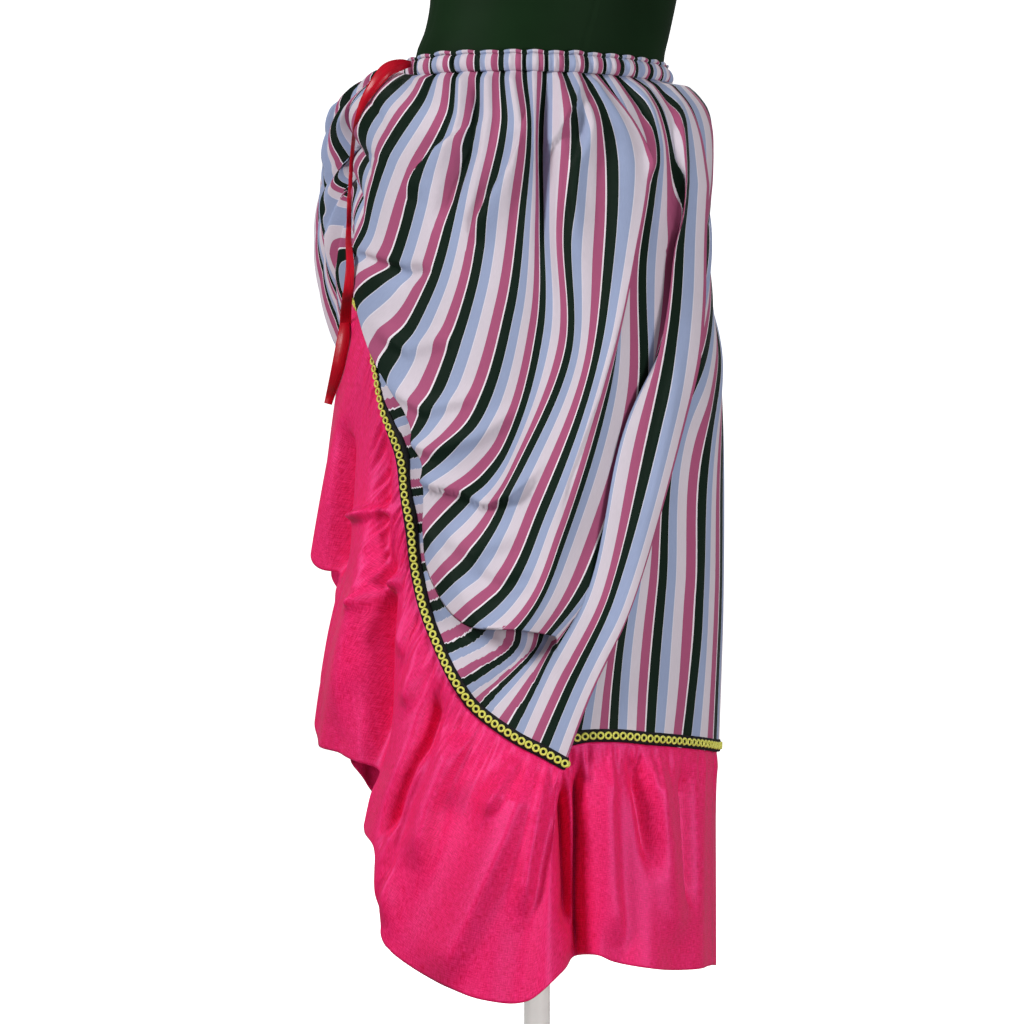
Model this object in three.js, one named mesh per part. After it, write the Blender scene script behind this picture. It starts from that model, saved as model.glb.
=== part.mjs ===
// A gathered, hitched-up striped skirt on a limbless dress form with a pole and a round base.
// Millimetres, +Z up, the front faces -Y, the origin is the middle of the base's underside.
import * as THREE from "three";

// Driving sizes
const FRONT_REPEATS = 19; // 45 mm runs of stripes across the front panel, left seam to right seam
const ALL_REPEATS = 40; // runs of stripes round the whole skirt
const WALL = 1.5; // cloth thickness
const SEAM = 0.4; // gap between neighbouring pieces
const WAIST_Z = 994; // lower edge of the casing
const CASING_HEIGHT = 17;
const TRIM_WIDTH = 9;
const TRIM_THICK = 1.4;
const TRIM_GAP = 1.1;
const RIBBON_THICK = 1;
const RUFFLE_WAVES = 24; // ruffle gathers round the whole hem
const EYE = { x: -25, z: 566, distance: 3500 }; // the drape is laid out on the plane through the axis from here
const FORM_COLOR = "#12281a";
const STRIPED_COLOR = "#b7adc4";
const PINK_COLOR = "#dc3273";
const RIBBON_COLOR = "#b8142c";
const TRIM_COLOR = "#8c862c";

// Sections of the air-filled skirt under its folds. z is height, a and b the half width and half depth, turn in degrees.
const HULL = [
  { z: 1018, a: 137, b: 107, turn: 25 },
  { z: 1004, a: 137, b: 107, turn: 25 },
  { z: 968, a: 168, b: 129, turn: 22 },
  { z: 928, a: 178, b: 140, turn: 18 },
  { z: 838, a: 184, b: 150, turn: 10 },
  { z: 648, a: 187, b: 158, turn: 0 },
  { z: 478, a: 187, b: 160, turn: 0 },
  { z: 298, a: 180, b: 162, turn: 0 },
];

// Hollow of the skirt under its right hip: depth, middle height, and how far it reaches in degrees and mm.
const HIP_HOLLOW = { depth: 11, z: 866, angle: 45, height: 75 };

// Threads of the front panel, k repeats from the left seam. x12 to x90 are where a thread hangs at 12, 30, 52, 76
// and 90% of its drop, hemX and hemZ where it ends, lift how far its fold stands off the hull, behind how many degrees
// its top is turned to the back of the right hip, round how many the whole of it goes past the left hip.
const FRONT = [
  { k: 0, x12: -160, x30: -178, x52: -182, x76: -185, x90: -185, hemX: -185, hemZ: 793, lift: 2, round: 6 },
  { k: 1, x12: -146, x30: -170, x52: -177, x76: -179, x90: -175, hemX: -171, hemZ: 753, lift: 3 },
  { k: 2, x12: -122, x30: -154, x52: -170, x76: -170, x90: -166, hemX: -163, hemZ: 708, lift: 4 },
  { k: 3, x12: -88, x30: -115, x52: -139, x76: -162, x90: -156, hemX: -155, hemZ: 658, lift: 5 },
  { k: 4, x12: -66, x30: -80, x52: -101, x76: -138, x90: -137, hemX: -143, hemZ: 620, lift: 5 },
  { k: 5, x12: -33, x30: -48, x52: -66, x76: -99, x90: -123, hemX: -138, hemZ: 583, lift: 4 },
  { k: 6, x12: -7, x30: -14, x52: -27, x76: -61, x90: -115, hemX: -133, hemZ: 548, lift: 4 },
  { k: 7, x12: 4, x30: 5, x52: 3, x76: -32, x90: -89, hemX: -128, hemZ: 508, lift: -3 },
  { k: 8, x12: 38, x30: 30, x52: 31, x76: -24, x90: -62, hemX: -119, hemZ: 466, lift: 5 },
  { k: 9, x12: 73, x30: 73, x52: 54, x76: 4, x90: -35, hemX: -103, hemZ: 423, lift: 9 },
  { k: 9.7, x12: 112, x30: 99, x52: 67, x76: 21, x90: -18, hemX: -92, hemZ: 398, lift: 15 },
  { k: 10.3, x12: 100, x30: 87, x52: 76, x76: 31, x90: -12, hemX: -79, hemZ: 380, lift: 8 },
  { k: 10.7, x12: 112, x30: 97, x52: 92, x76: 46, x90: -5, hemX: -70, hemZ: 370, lift: 1 },
  { k: 11.3, x12: 122, x30: 116, x52: 112, x76: 66, x90: -1, hemX: -55, hemZ: 356, lift: -1 },
  { k: 12.2, x12: 135, x30: 145, x52: 89, x76: 53, x90: 6, hemX: -25, hemZ: 335, lift: 7 },
  { k: 12.7, x12: 142, x30: 134, x52: 104, x76: 69, x90: 23, hemX: -8, hemZ: 326, lift: 13 },
  { k: 13, x12: 147, x30: 141, x52: 117, x76: 75, x90: 32, hemX: 3, hemZ: 321, lift: 15 },
  { k: 13.75, x12: 172, x30: 169, x52: 143, x76: 94, x90: 53, hemX: 28, hemZ: 308, lift: 19 },
  { k: 14.3, x12: 160, x30: 157, x52: 127, x76: 76, x90: 40, hemX: 15, hemZ: 318, lift: 9, behind: 6 },
  { k: 15, x12: 168, x30: 148, x52: 120, x76: 73, x90: 52, hemX: 38, hemZ: 333, lift: 1, behind: 14 },
  { k: 16, x12: 174, x30: 152, x52: 114, x76: 90, x90: 80, hemX: 76, hemZ: 336, lift: 1, behind: 24 },
  { k: 17, x12: 176, x30: 163, x52: 138, x76: 125, x90: 117, hemX: 113, hemZ: 333, lift: 1, behind: 34 },
  { k: 18, x12: 178, x30: 173, x52: 169, x76: 160, x90: 156, hemX: 149, hemZ: 330, lift: 1, behind: 42 },
  { k: 19, x12: 179, x30: 182, x52: 185, x76: 184, x90: 181, hemX: 179, hemZ: 326, lift: 2, behind: 50 },
];

// Threads of the back panel: waist and hem are directions round the axis in degrees (0 right, 90 front), puff how far
// the bunched-up cloth stands out.
const BACK = [
  { k: 19, waist: -45, hem: 10, hemZ: 326, puff: 0 },
  { k: 20.5, waist: -56, hem: -9, hemZ: 327, puff: 4 },
  { k: 22, waist: -67, hem: -29, hemZ: 329, puff: 1 },
  { k: 24, waist: -81, hem: -54, hemZ: 338, puff: 7 },
  { k: 26, waist: -96, hem: -80, hemZ: 356, puff: 2 },
  { k: 28, waist: -111, hem: -104, hemZ: 385, puff: 9 },
  { k: 30, waist: -125, hem: -128, hemZ: 425, puff: 5 },
  { k: 32, waist: -140, hem: -147, hemZ: 478, puff: 12 },
  { k: 34, waist: -154, hem: -160, hemZ: 548, puff: 25 },
  { k: 36, waist: -168, hem: -165, hemZ: 628, puff: 39 },
  { k: 38, waist: -181, hem: -169, hemZ: 712, puff: 41 },
  { k: 39.2, waist: -191, hem: -173, hemZ: 765, puff: 24 },
  { k: 40, waist: -198, hem: -176, hemZ: 793, puff: 0 },
];

// Horizontal tucks where the hitched cloth droops over itself, from thread k0 at drop t0 to thread k1 at drop t1.
const TUCKS = [
  { k0: 0.6, t0: 0.75, k1: 3.2, t1: 0.57, height: 12 },
  { k0: 5.6, t0: 0.9, k1: 7.6, t1: 0.83, height: 9 },
  { k0: 7.6, t0: 0.95, k1: 13, t1: 0.83, height: 15 },
];

// The cloth bunched over the hitched seam stands out and up under the ribbon: how far each way, over what share of
// its drop, and how many threads of the front and the back it takes in.
const SHOULDER = { out: 20, rise: 22, drop: 0.3, front: 1.3, back: 3 };

// Free edge of the front ruffle under the same threads: x, height and how far it flares off the hull.
const RUFFLE_EDGE = [
  { k: 0, x: -209, z: 569, out: 25 },
  { k: 1, x: -221, z: 515, out: 38 },
  { k: 2, x: -210, z: 501, out: 30 },
  { k: 3, x: -207, z: 460, out: 28 },
  { k: 4, x: -218, z: 390, out: 38 },
  { k: 5, x: -223, z: 338, out: 45 },
  { k: 6, x: -196, z: 323, out: 32 },
  { k: 7, x: -168, z: 303, out: 26 },
  { k: 8, x: -169, z: 262, out: 26 },
  { k: 8.7, x: -168, z: 246, out: 26 },
  { k: 9.3, x: -153, z: 230, out: 26 },
  { k: 10.2, x: -151, z: 175, out: 29 },
  { k: 11, x: -148, z: 138, out: 30 },
  { k: 11.6, x: -132, z: 116, out: 29 },
  { k: 12.2, x: -100, z: 96, out: 28 },
  { k: 13, x: -53, z: 78, out: 26 },
  { k: 13.75, x: -9, z: 77, out: 24 },
  { k: 14.3, x: 25, z: 106, out: 10 },
  { k: 15, x: 47, z: 123, out: -2 },
  { k: 16, x: 78, z: 116, out: 8 },
  { k: 17, x: 113, z: 109, out: 8 },
  { k: 18, x: 153, z: 108, out: 5 },
  { k: 19, x: 177.5, z: 113, out: 2 },
];
const BACK_RUFFLE_DEPTH = 214;
const RUFFLE_WAVE = 8;

// Sections of the torso: height, centre x, half width, half depth, turn in degrees.
const TORSO = [
  { z: 792, x: 0, a: 60, b: 44, turn: 12 },
  { z: 800, x: 0, a: 100, b: 74, turn: 12 },
  { z: 826, x: 0, a: 136, b: 102, turn: 14 },
  { z: 870, x: 0, a: 150, b: 114, turn: 16 },
  { z: 925, x: 0, a: 146, b: 110, turn: 20 },
  { z: 975, x: 1, a: 131, b: 101, turn: 25 },
  { z: 1021, x: 4, a: 129, b: 98, turn: 25 },
  { z: 1045, x: 11, a: 127, b: 97, turn: 25 },
  { z: 1078, x: 17, a: 128, b: 98, turn: 25 },
  { z: 1140, x: 21, a: 136, b: 102, turn: 25 },
  { z: 1220, x: 21, a: 154, b: 120, turn: 25 },
  { z: 1290, x: 20, a: 160, b: 108, turn: 25 },
  { z: 1350, x: 19, a: 164, b: 88, turn: 25 },
  { z: 1390, x: 18, a: 140, b: 74, turn: 25 },
  { z: 1415, x: 18, a: 88, b: 64, turn: 25 },
  { z: 1445, x: 18, a: 58, b: 56, turn: 25 },
];

const DEG = Math.PI / 180;
const bell = (u) => Math.exp(-u * u);
const DROPS = [0, 0.12, 0.3, 0.52, 0.76, 0.9, 1];

// Smooth curve through rows sorted by their key, read at u.
function through(keys, values, u) {
  let i = 0;
  while (i < keys.length - 2 && u > keys[i + 1]) i += 1;
  const slope = (j) => {
    const lo = Math.max(j - 1, 0);
    const hi = Math.min(j + 1, keys.length - 1);
    return (values[hi] - values[lo]) / (keys[hi] - keys[lo]);
  };
  const span = keys[i + 1] - keys[i];
  const f = Math.min(Math.max((u - keys[i]) / span, 0), 1);
  const f2 = f * f;
  const f3 = f2 * f;
  return (2 * f3 - 3 * f2 + 1) * values[i] + (f3 - 2 * f2 + f) * span * slope(i)
    + (3 * f2 - 2 * f3) * values[i + 1] + (f3 - f2) * span * slope(i + 1);
}

const column = (rows, name) => rows.map((row) => row[name]);
const HULL_UP = [...HULL].reverse();
const HULL_Z = column(HULL_UP, "z");

// Reach of an ellipse in one direction round the axis.
function reach(a, b, turn, angle) {
  const u = (angle + turn) * DEG;
  return 1 / Math.hypot(Math.cos(u) / a, Math.sin(u) / b);
}

function hullReach(angle, z) {
  const level = Math.min(Math.max(z, HULL_Z[0]), HULL_Z[HULL_Z.length - 1]);
  const [a, b, turn] = ["a", "b", "turn"].map((name) => through(HULL_Z, column(HULL_UP, name), level));
  const hollow = bell(angle / HIP_HOLLOW.angle) * bell((z - HIP_HOLLOW.z) / HIP_HOLLOW.height);
  return reach(a, b, turn, angle) - HIP_HOLLOW.depth * hollow;
}

// Direction in which the front of the hull is seen at x.
function frontAngle(x, z, out) {
  let right = 0;
  let left = 180;
  for (let step = 0; step < 24; step += 1) {
    const middle = (right + left) / 2;
    if ((hullReach(middle, z) + out) * Math.cos(middle * DEG) > x) right = middle;
    else left = middle;
  }
  return (right + left) / 2;
}

// A point at a direction, reach and laid-out height, carried to its own depth along the line from the eye.
function place(angle, radius, z) {
  const y = -radius * Math.sin(angle * DEG);
  const x = radius * Math.cos(angle * DEG);
  const near = (EYE.distance + y) / EYE.distance;
  return [EYE.x + (x - EYE.x) * near, y, EYE.z + (z - EYE.z) * near];
}

const WAIST_FRONT = [162, -45];
const waistAngle = (k) => WAIST_FRONT[0] + (WAIST_FRONT[1] - WAIST_FRONT[0]) * (k / FRONT_REPEATS);

// Laid-out height of a level line round the waist.
function levelHeight(angle, z) {
  const y = -hullReach(angle, z) * Math.sin(angle * DEG);
  return EYE.z + (z - EYE.z) * EYE.distance / (EYE.distance + y);
}

// Directions of a front thread at each of its drops.
function frontRow(row) {
  const at = (x, drop) => frontAngle(x, WAIST_Z + (row.hemZ - WAIST_Z) * drop, Math.max(row.lift, 0));
  const behind = row.behind ?? 0;
  const round = row.round ?? 0;
  const below = [at(row.x12, 0.12) - behind, at(row.x30, 0.3) - 0.4 * behind, at(row.x52, 0.52),
    at(row.x76, 0.76), at(row.x90, 0.9), at(row.hemX, 1)];
  return [waistAngle(row.k), ...below.map((angle) => angle + round)];
}

// Directions of a back thread: a slow turn, or next to the left seam the quick one of the hitched edge.
function backRow(row) {
  const hitched = bell((ALL_REPEATS - row.k) / 3);
  return DROPS.map((drop) => {
    const slow = drop * drop * (3 - 2 * drop);
    const quick = 1 - (1 - drop) ** 6;
    return row.waist + (row.hem - row.waist) * (slow + (quick - slow) * hitched);
  });
}

const FRONT_ANGLES = FRONT.map(frontRow);
const BACK_ANGLES = BACK.map(backRow);
BACK_ANGLES[0] = FRONT_ANGLES[FRONT.length - 1];
BACK_ANGLES[BACK.length - 1] = FRONT_ANGLES[0].map((angle) => angle - 360);

function threadAngle(k, drop) {
  const front = k <= FRONT_REPEATS;
  const rows = front ? FRONT : BACK;
  const angles = front ? FRONT_ANGLES : BACK_ANGLES;
  const across = DROPS.map((_, i) => through(column(rows, "k"), angles.map((row) => row[i]), k));
  return through(DROPS, across, drop);
}

const fromSeam = (k) => Math.min(k, ALL_REPEATS - k);
const SEAM_LIFT = 2;

// Share of the bunched-up shoulder that a point of the cloth has.
function shoulder(k, drop) {
  const width = k <= FRONT_REPEATS ? SHOULDER.front : SHOULDER.back;
  return bell(fromSeam(k) / width) * Math.sqrt(Math.sin(Math.PI * Math.min(drop / SHOULDER.drop, 1)));
}

// Laid-out height of a thread at a share of its drop.
function threadHeight(k, drop) {
  const top = levelHeight(threadAngle(k, 0), WAIST_Z - WALL);
  return top + (hemHeight(k) - top) * drop + SHOULDER.rise * shoulder(k, drop);
}

function hemHeight(k) {
  const rows = k <= FRONT_REPEATS ? FRONT : BACK;
  return through(column(rows, "k"), column(rows, "hemZ"), k);
}

// How far the cloth stands off the hull: folds, gathers under the casing, ruching by the seam and tucks.
function standOff(k, drop) {
  const front = k <= FRONT_REPEATS;
  const body = Math.min(drop / 0.15, 1) * (1 - 0.45 * Math.max(drop - 0.8, 0) / 0.2);
  const fold = front ? through(column(FRONT, "k"), column(FRONT, "lift"), k) : SEAM_LIFT
    + through(column(BACK, "k"), column(BACK, "puff"), k) * Math.sin(Math.PI * Math.min(drop * 1.15, 1));
  const gather = 3.5 * Math.cos(2 * Math.PI * k) * Math.exp(-drop * 9);
  const groove = -8 * bell((k - 7) / 0.45) * bell((drop - 0.2) / 0.2);
  const ruche = 5.5 * bell(fromSeam(k) / 1.9) * Math.sin(Math.PI * drop)
    * Math.sin(2 * Math.PI * (drop * 6 - 0.35 * fromSeam(k)));
  let tuck = 0;
  for (const row of TUCKS) {
    const along = (k - row.k0) / (row.k1 - row.k0);
    const line = row.t0 + (row.t1 - row.t0) * along;
    const ends = bell((along - 0.5) / 0.38);
    const over = drop < line ? bell((drop - line) / 0.1) : bell((drop - line) / 0.022);
    if (front) tuck += row.height * ends * over;
  }
  const bunched = SHOULDER.out * shoulder(k, drop);
  return fold * body + gather + groove + ruche + bunched + tuck * Math.min(Math.max(0.985 - drop, 0) / 0.05, 1);
}

// A point of the striped cloth on thread k at a share of its drop. Threads are counted on round the skirt.
function clothPoint(count, drop) {
  const k = (count + ALL_REPEATS) % ALL_REPEATS;
  const angle = threadAngle(k, drop);
  const z = threadHeight(k, drop);
  return place(angle, hullReach(angle, z) + standOff(k, drop), z);
}

// Share of a thread's drop that covers a width of cloth squared off against the hem.
function hemShare(k, width) {
  const vec = (count, drop) => new THREE.Vector3(...clothPoint(count, drop));
  const fall = vec(k, 1).sub(vec(k, 0.97)).divideScalar(0.03);
  const along = vec(k + 0.1, 1).sub(vec(k - 0.1, 1)).normalize();
  return Math.min(width / fall.cross(along).length(), 0.06);
}

// A point of the ruffle: thread k, s from the hem (0) to the free edge (1).
function rufflePoint(count, s) {
  const k = (count + ALL_REPEATS) % ALL_REPEATS;
  const hemZ = hemHeight(k);
  const start = threadAngle(k, 1);
  let edgeAngle = start;
  let edgeZ = hemZ - BACK_RUFFLE_DEPTH;
  let out = 22;
  if (k <= FRONT_REPEATS) {
    const read = (name) => through(column(RUFFLE_EDGE, "k"), column(RUFFLE_EDGE, name), k);
    edgeZ = read("z");
    out = read("out");
    edgeAngle = frontAngle(read("x"), edgeZ, out);
  } else {
    const hitched = bell((k - 35) / 3.5);
    const seam = Math.max(k - 38.5, 0) / (ALL_REPEATS - 38.5);
    const middle = Math.min(Math.max(k - 21, 0) / 4, 1) * Math.min(Math.max(33 - k, 0) / 4, 1);
    out = 2 + 9 * middle + 22 * bell((k - ALL_REPEATS) / 2.2);
    edgeAngle = start - 7 * hitched;
    edgeZ -= 10 * seam;
  }
  const angle = start + (edgeAngle - start) * s * (1.4 - 0.4 * s);
  const z = hemZ + (edgeZ - hemZ) * s;
  const wave = Math.sin(2 * Math.PI * k * RUFFLE_WAVES / ALL_REPEATS) * RUFFLE_WAVE * s ** 0.8;
  const under = (standOff(k, 1) - WALL - SEAM) * (1 - s);
  return place(angle, hullReach(angle, z) + under + out * s + wave, z);
}

// Direction out of the cloth at column j of a row of spots, read on both sides of the seam at the row's ends.
function outward(point, row, j) {
  const vec = (count, share) => new THREE.Vector3(...point(count, share));
  const { k, drop } = row[j];
  const lower = Math.min(drop + 0.012, 1);
  const upper = Math.max(drop - 0.012, 0);
  const inside = j > 0 && j < row.length - 1;
  const next = inside ? row[j + 1].k : k + 0.12;
  const previous = inside ? row[j - 1].k : k - 0.12;
  const across = vec(next, drop).sub(vec(previous, drop));
  return vec(k, lower).sub(vec(k, upper)).cross(across).normalize();
}

// Closed wall over a grid of spots { k, drop } of a surface: its outer face stands lift off the surface.
function wallGeometry(spots, point, thick, lift = 0) {
  const rows = spots.length;
  const cols = spots[0].length;
  const positions = [];
  for (const side of [lift, lift - thick]) {
    for (const row of spots) {
      row.forEach(({ k, drop }, j) => {
        const p = new THREE.Vector3(...point(k, drop)).addScaledVector(outward(point, row, j), side);
        positions.push(p.x, p.y, p.z);
      });
    }
  }
  const index = [];
  const quad = (a, b, c, d) => index.push(a, b, c, a, c, d);
  const out = (i, j) => i * cols + j;
  const inn = (i, j) => rows * cols + i * cols + j;
  for (let i = 0; i < rows - 1; i += 1) {
    for (let j = 0; j < cols - 1; j += 1) {
      quad(out(i, j), out(i + 1, j), out(i + 1, j + 1), out(i, j + 1));
      quad(inn(i, j), inn(i, j + 1), inn(i + 1, j + 1), inn(i + 1, j));
    }
    quad(out(i, 0), inn(i, 0), inn(i + 1, 0), out(i + 1, 0));
    quad(out(i, cols - 1), out(i + 1, cols - 1), inn(i + 1, cols - 1), inn(i, cols - 1));
  }
  for (let j = 0; j < cols - 1; j += 1) {
    quad(out(0, j), out(0, j + 1), inn(0, j + 1), inn(0, j));
    quad(out(rows - 1, j), inn(rows - 1, j), inn(rows - 1, j + 1), out(rows - 1, j + 1));
  }
  return geometryOf(positions, index);
}

function geometryOf(positions, index) {
  const geometry = new THREE.BufferGeometry();
  geometry.setAttribute("position", new THREE.Float32BufferAttribute(positions, 3));
  geometry.setIndex(index);
  return geometry;
}

// A closed skin over rings of points from the bottom up, capped flat at both ends.
function ringGeometry(rings) {
  const count = rings[0].length;
  const positions = rings.flat(2);
  const index = [];
  for (let i = 0; i < rings.length - 1; i += 1) {
    for (let j = 0; j < count; j += 1) {
      const a = i * count + j;
      const b = i * count + (j + 1) % count;
      index.push(a, b, b + count, a, b + count, a + count);
    }
  }
  const last = (rings.length - 1) * count;
  for (let j = 1; j < count - 1; j += 1) {
    index.push(0, j + 1, j);
    index.push(last, last + j, last + j + 1);
  }
  return geometryOf(positions, index);
}

// Evenly spread values, ends included.
function spread(from, to, count) {
  return Array.from({ length: count + 1 }, (_, i) => from + (to - from) * i / count);
}

const FRONT_SPREAD = [...spread(0.012, 9, 28), ...spread(9.25, 15.25, 24), ...spread(15.6, 18.988, 9)];
const BACK_SPREAD = spread(19.012, 39.988, 46);
const BODY_DROPS = [...spread(0, 0.1, 2), ...spread(0.16, 0.84, 11), 0.89, 0.945, 1];

// Spots of the striped cloth, the last two rows on the upper and lower edge of the trim.
function bodySpots(threads) {
  const trimShares = threads.map((k) => hemShare(k, TRIM_WIDTH));
  const rows = BODY_DROPS.map((drop) => threads.map((k, j) => ({ k, drop: drop * (1 - trimShares[j]) })));
  return [...rows, threads.map((k) => ({ k, drop: 1 - hemShare(k, SEAM) }))];
}

function ruffleSpots(threads) {
  return spread(0, 1, 5).map((drop) => threads.map((k) => ({ k, drop })));
}

// Puckered casing round the waist, a closed ring section swept round all the gathers.
function casing() {
  const steps = ALL_REPEATS * 4;
  const outside = [{ out: 0, up: 0 }, { out: 1.5, up: CASING_HEIGHT / 2 }, { out: 0, up: CASING_HEIGHT }];
  const inside = [CASING_HEIGHT, 0];
  const size = outside.length + inside.length;
  const positions = [];
  const index = [];
  for (let j = 0; j < steps; j += 1) {
    const k = ALL_REPEATS * j / steps;
    const angle = threadAngle(k, 0);
    const pucker = 2.5 * Math.cos(2 * Math.PI * k);
    for (const { out, up } of outside) {
      const radius = hullReach(angle, WAIST_Z + CASING_HEIGHT) + pucker + out;
      positions.push(radius * Math.cos(angle * DEG), -radius * Math.sin(angle * DEG), WAIST_Z + up);
    }
    for (const up of inside) {
      positions.push(...torsoPoint(angle, WAIST_Z + up, SEAM));
    }
  }
  for (let j = 0; j < steps; j += 1) {
    for (let i = 0; i < size; i += 1) {
      const a = j * size + i;
      const b = j * size + (i + 1) % size;
      const c = ((j + 1) % steps) * size + (i + 1) % size;
      const d = ((j + 1) % steps) * size + i;
      index.push(a, c, b, a, d, c);
    }
  }
  return geometryOf(positions, index);
}

// A point of the torso's straight skin between two of its sections, moved out.
function torsoPoint(angle, z, out) {
  const upper = TORSO.findIndex((row) => row.z > z);
  const lower = TORSO[upper - 1];
  const f = (z - lower.z) / (TORSO[upper].z - lower.z);
  const [x, a, b, turn] = ["x", "a", "b", "turn"].map((name) => lower[name] + (TORSO[upper][name] - lower[name]) * f);
  const radius = reach(a, b, turn, angle) + out;
  return [x + radius * Math.cos(angle * DEG), -radius * Math.sin(angle * DEG), z];
}

function torso() {
  const angles = spread(360, 9, 39);
  const rings = TORSO.map((row) => angles.map((angle) => {
    const radius = reach(row.a, row.b, row.turn, angle);
    return [row.x + radius * Math.cos(angle * DEG), -radius * Math.sin(angle * DEG), row.z];
  }));
  return ringGeometry(rings);
}

function turned(profile) {
  const points = profile.map(([radius, z]) => new THREE.Vector2(radius, z));
  return new THREE.LatheGeometry(points, 32).rotateX(Math.PI / 2);
}

const group = new THREE.Group();

function add(name, geometry, color, roughness, metalness = 0) {
  const material = new THREE.MeshStandardMaterial({ color, roughness, metalness });
  const mesh = new THREE.Mesh(geometry, material);
  mesh.name = name;
  group.add(mesh);
  return mesh;
}

add("stand_base", turned([[0, 0], [166, 0], [170, 4], [170, 9], [165, 14], [0, 14]]), "#e9e9e6", 0.4, 0.2);
add("stand_pole", turned([[0, 14.3], [13, 14.3], [13, 791.6], [0, 791.6]]), "#e9e9e6", 0.4, 0.2);
add("form_torso", torso(), FORM_COLOR, 0.75);
const cap = turned([[0, 0], [50, 0], [52, 6], [44, 16], [20, 24], [0, 26]]);
add("form_neck_cap", cap.translate(18, 0, 1445.3), "#b08a5a", 0.5);
add("waist_casing", casing(), STRIPED_COLOR, 0.5);
const FRONT_SPOTS = bodySpots(FRONT_SPREAD);
const BACK_SPOTS = bodySpots(BACK_SPREAD);
add("body_front", wallGeometry(FRONT_SPOTS, clothPoint, WALL), STRIPED_COLOR, 0.5);
add("body_back", wallGeometry(BACK_SPOTS, clothPoint, WALL), STRIPED_COLOR, 0.5);

// Braid and ribbon lie on the cloth, over its own spots.
add("trim_front", wallGeometry(FRONT_SPOTS.slice(-2), clothPoint, TRIM_THICK, TRIM_THICK + TRIM_GAP), TRIM_COLOR, 0.5);
add("trim_back", wallGeometry(BACK_SPOTS.slice(-2), clothPoint, TRIM_THICK, TRIM_THICK + TRIM_GAP), TRIM_COLOR, 0.5);
const strap = FRONT_SPOTS.slice(1, -3).map((row) => row.slice(0, 2));
add("ribbon_strap", wallGeometry(strap, clothPoint, RIBBON_THICK, RIBBON_THICK + SEAM), RIBBON_COLOR, 0.35);

const FRONT_RUFFLE = ruffleSpots(spread(0.012, 18.988, 66));
const BACK_RUFFLE = ruffleSpots(spread(19.012, 39.988, 60));
add("ruffle_front", wallGeometry(FRONT_RUFFLE, rufflePoint, WALL), PINK_COLOR, 0.5);
add("ruffle_back", wallGeometry(BACK_RUFFLE, rufflePoint, WALL), PINK_COLOR, 0.5);
const tail = [0.08, 0.2, 0.4, 0.6].map((drop) => FRONT_RUFFLE[0].slice(0, 2).map(({ k }) => ({ k, drop })));
add("ribbon_tail", wallGeometry(tail, rufflePoint, RIBBON_THICK, RIBBON_THICK + SEAM), RIBBON_COLOR, 0.35);

export default group;
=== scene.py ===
import math

import bpy
import numpy as np
from mathutils import Matrix, Vector
from mathutils.bvhtree import BVHTree


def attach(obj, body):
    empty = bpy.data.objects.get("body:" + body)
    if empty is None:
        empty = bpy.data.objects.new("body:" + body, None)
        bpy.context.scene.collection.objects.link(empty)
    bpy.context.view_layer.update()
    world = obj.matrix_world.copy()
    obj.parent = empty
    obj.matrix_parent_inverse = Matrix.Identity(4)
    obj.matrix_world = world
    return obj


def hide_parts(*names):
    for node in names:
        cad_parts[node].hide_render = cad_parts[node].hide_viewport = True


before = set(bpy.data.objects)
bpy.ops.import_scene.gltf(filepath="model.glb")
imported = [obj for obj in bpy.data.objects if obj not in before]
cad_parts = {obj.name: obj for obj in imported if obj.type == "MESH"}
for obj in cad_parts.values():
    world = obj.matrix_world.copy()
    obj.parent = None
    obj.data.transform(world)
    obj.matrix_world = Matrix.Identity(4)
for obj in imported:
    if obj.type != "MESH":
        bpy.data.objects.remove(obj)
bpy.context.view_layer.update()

# Camera: a long lens straight in front of the middle of the skirt. It stands well back, so that the near side
# of the skirt isn't drawn large.
eye = {"x": -25.0, "z": 566.0, "distance": 3500.0}  # mm
picture_height = 1024.0  # mm of the plane through the axis that fill the picture
camera_data = bpy.data.cameras.new("studio_camera")
camera = bpy.data.objects.new("studio_camera", camera_data)
bpy.context.scene.collection.objects.link(camera)
camera.location = (eye["x"] / 1000, -eye["distance"] / 1000, eye["z"] / 1000)
camera.rotation_euler = (math.radians(90), 0, 0)
camera_data.sensor_width = 36.0
camera_data.lens = camera_data.sensor_width * eye["distance"] / picture_height
camera_data.clip_end = 50.0
bpy.context.scene.camera = camera


# Studio: a seamless white paper sweep that runs from under the stand up behind it, and soft boxes round it.
# The light comes mostly from the upper left, so that the pleats show.
def link_mesh(name, points, faces):
    mesh = bpy.data.meshes.new(name)
    mesh.from_pydata([tuple(p) for p in points], [], [tuple(f) for f in faces])
    mesh.validate()
    mesh.update()
    mesh.polygons.foreach_set("use_smooth", [True] * len(mesh.polygons))
    made = bpy.data.objects.new(name, mesh)
    bpy.context.scene.collection.objects.link(made)
    return made


def new_material(name, roughness, shine):
    """A material with its roughness and the strength of its surface reflection (0.5 is plain varnish)."""
    material = bpy.data.materials.new(name)
    material.use_nodes = True
    shader = material.node_tree.nodes["Principled BSDF"]
    shader.inputs["Roughness"].default_value = roughness
    shader.inputs["Specular IOR Level"].default_value = shine
    return material, material.node_tree, shader


def wire(tree, kind, inputs, **settings):
    """A node with its settings, and its inputs set to a value or linked to an output."""
    made = tree.nodes.new(kind if "Node" in kind else "ShaderNode" + kind)
    for name, value in settings.items():
        setattr(made, name, value)
    for socket, value in inputs.items():
        if isinstance(value, bpy.types.NodeSocket):
            tree.links.new(value, made.inputs[socket])
        else:
            made.inputs[socket].default_value = value
    return made


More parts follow.
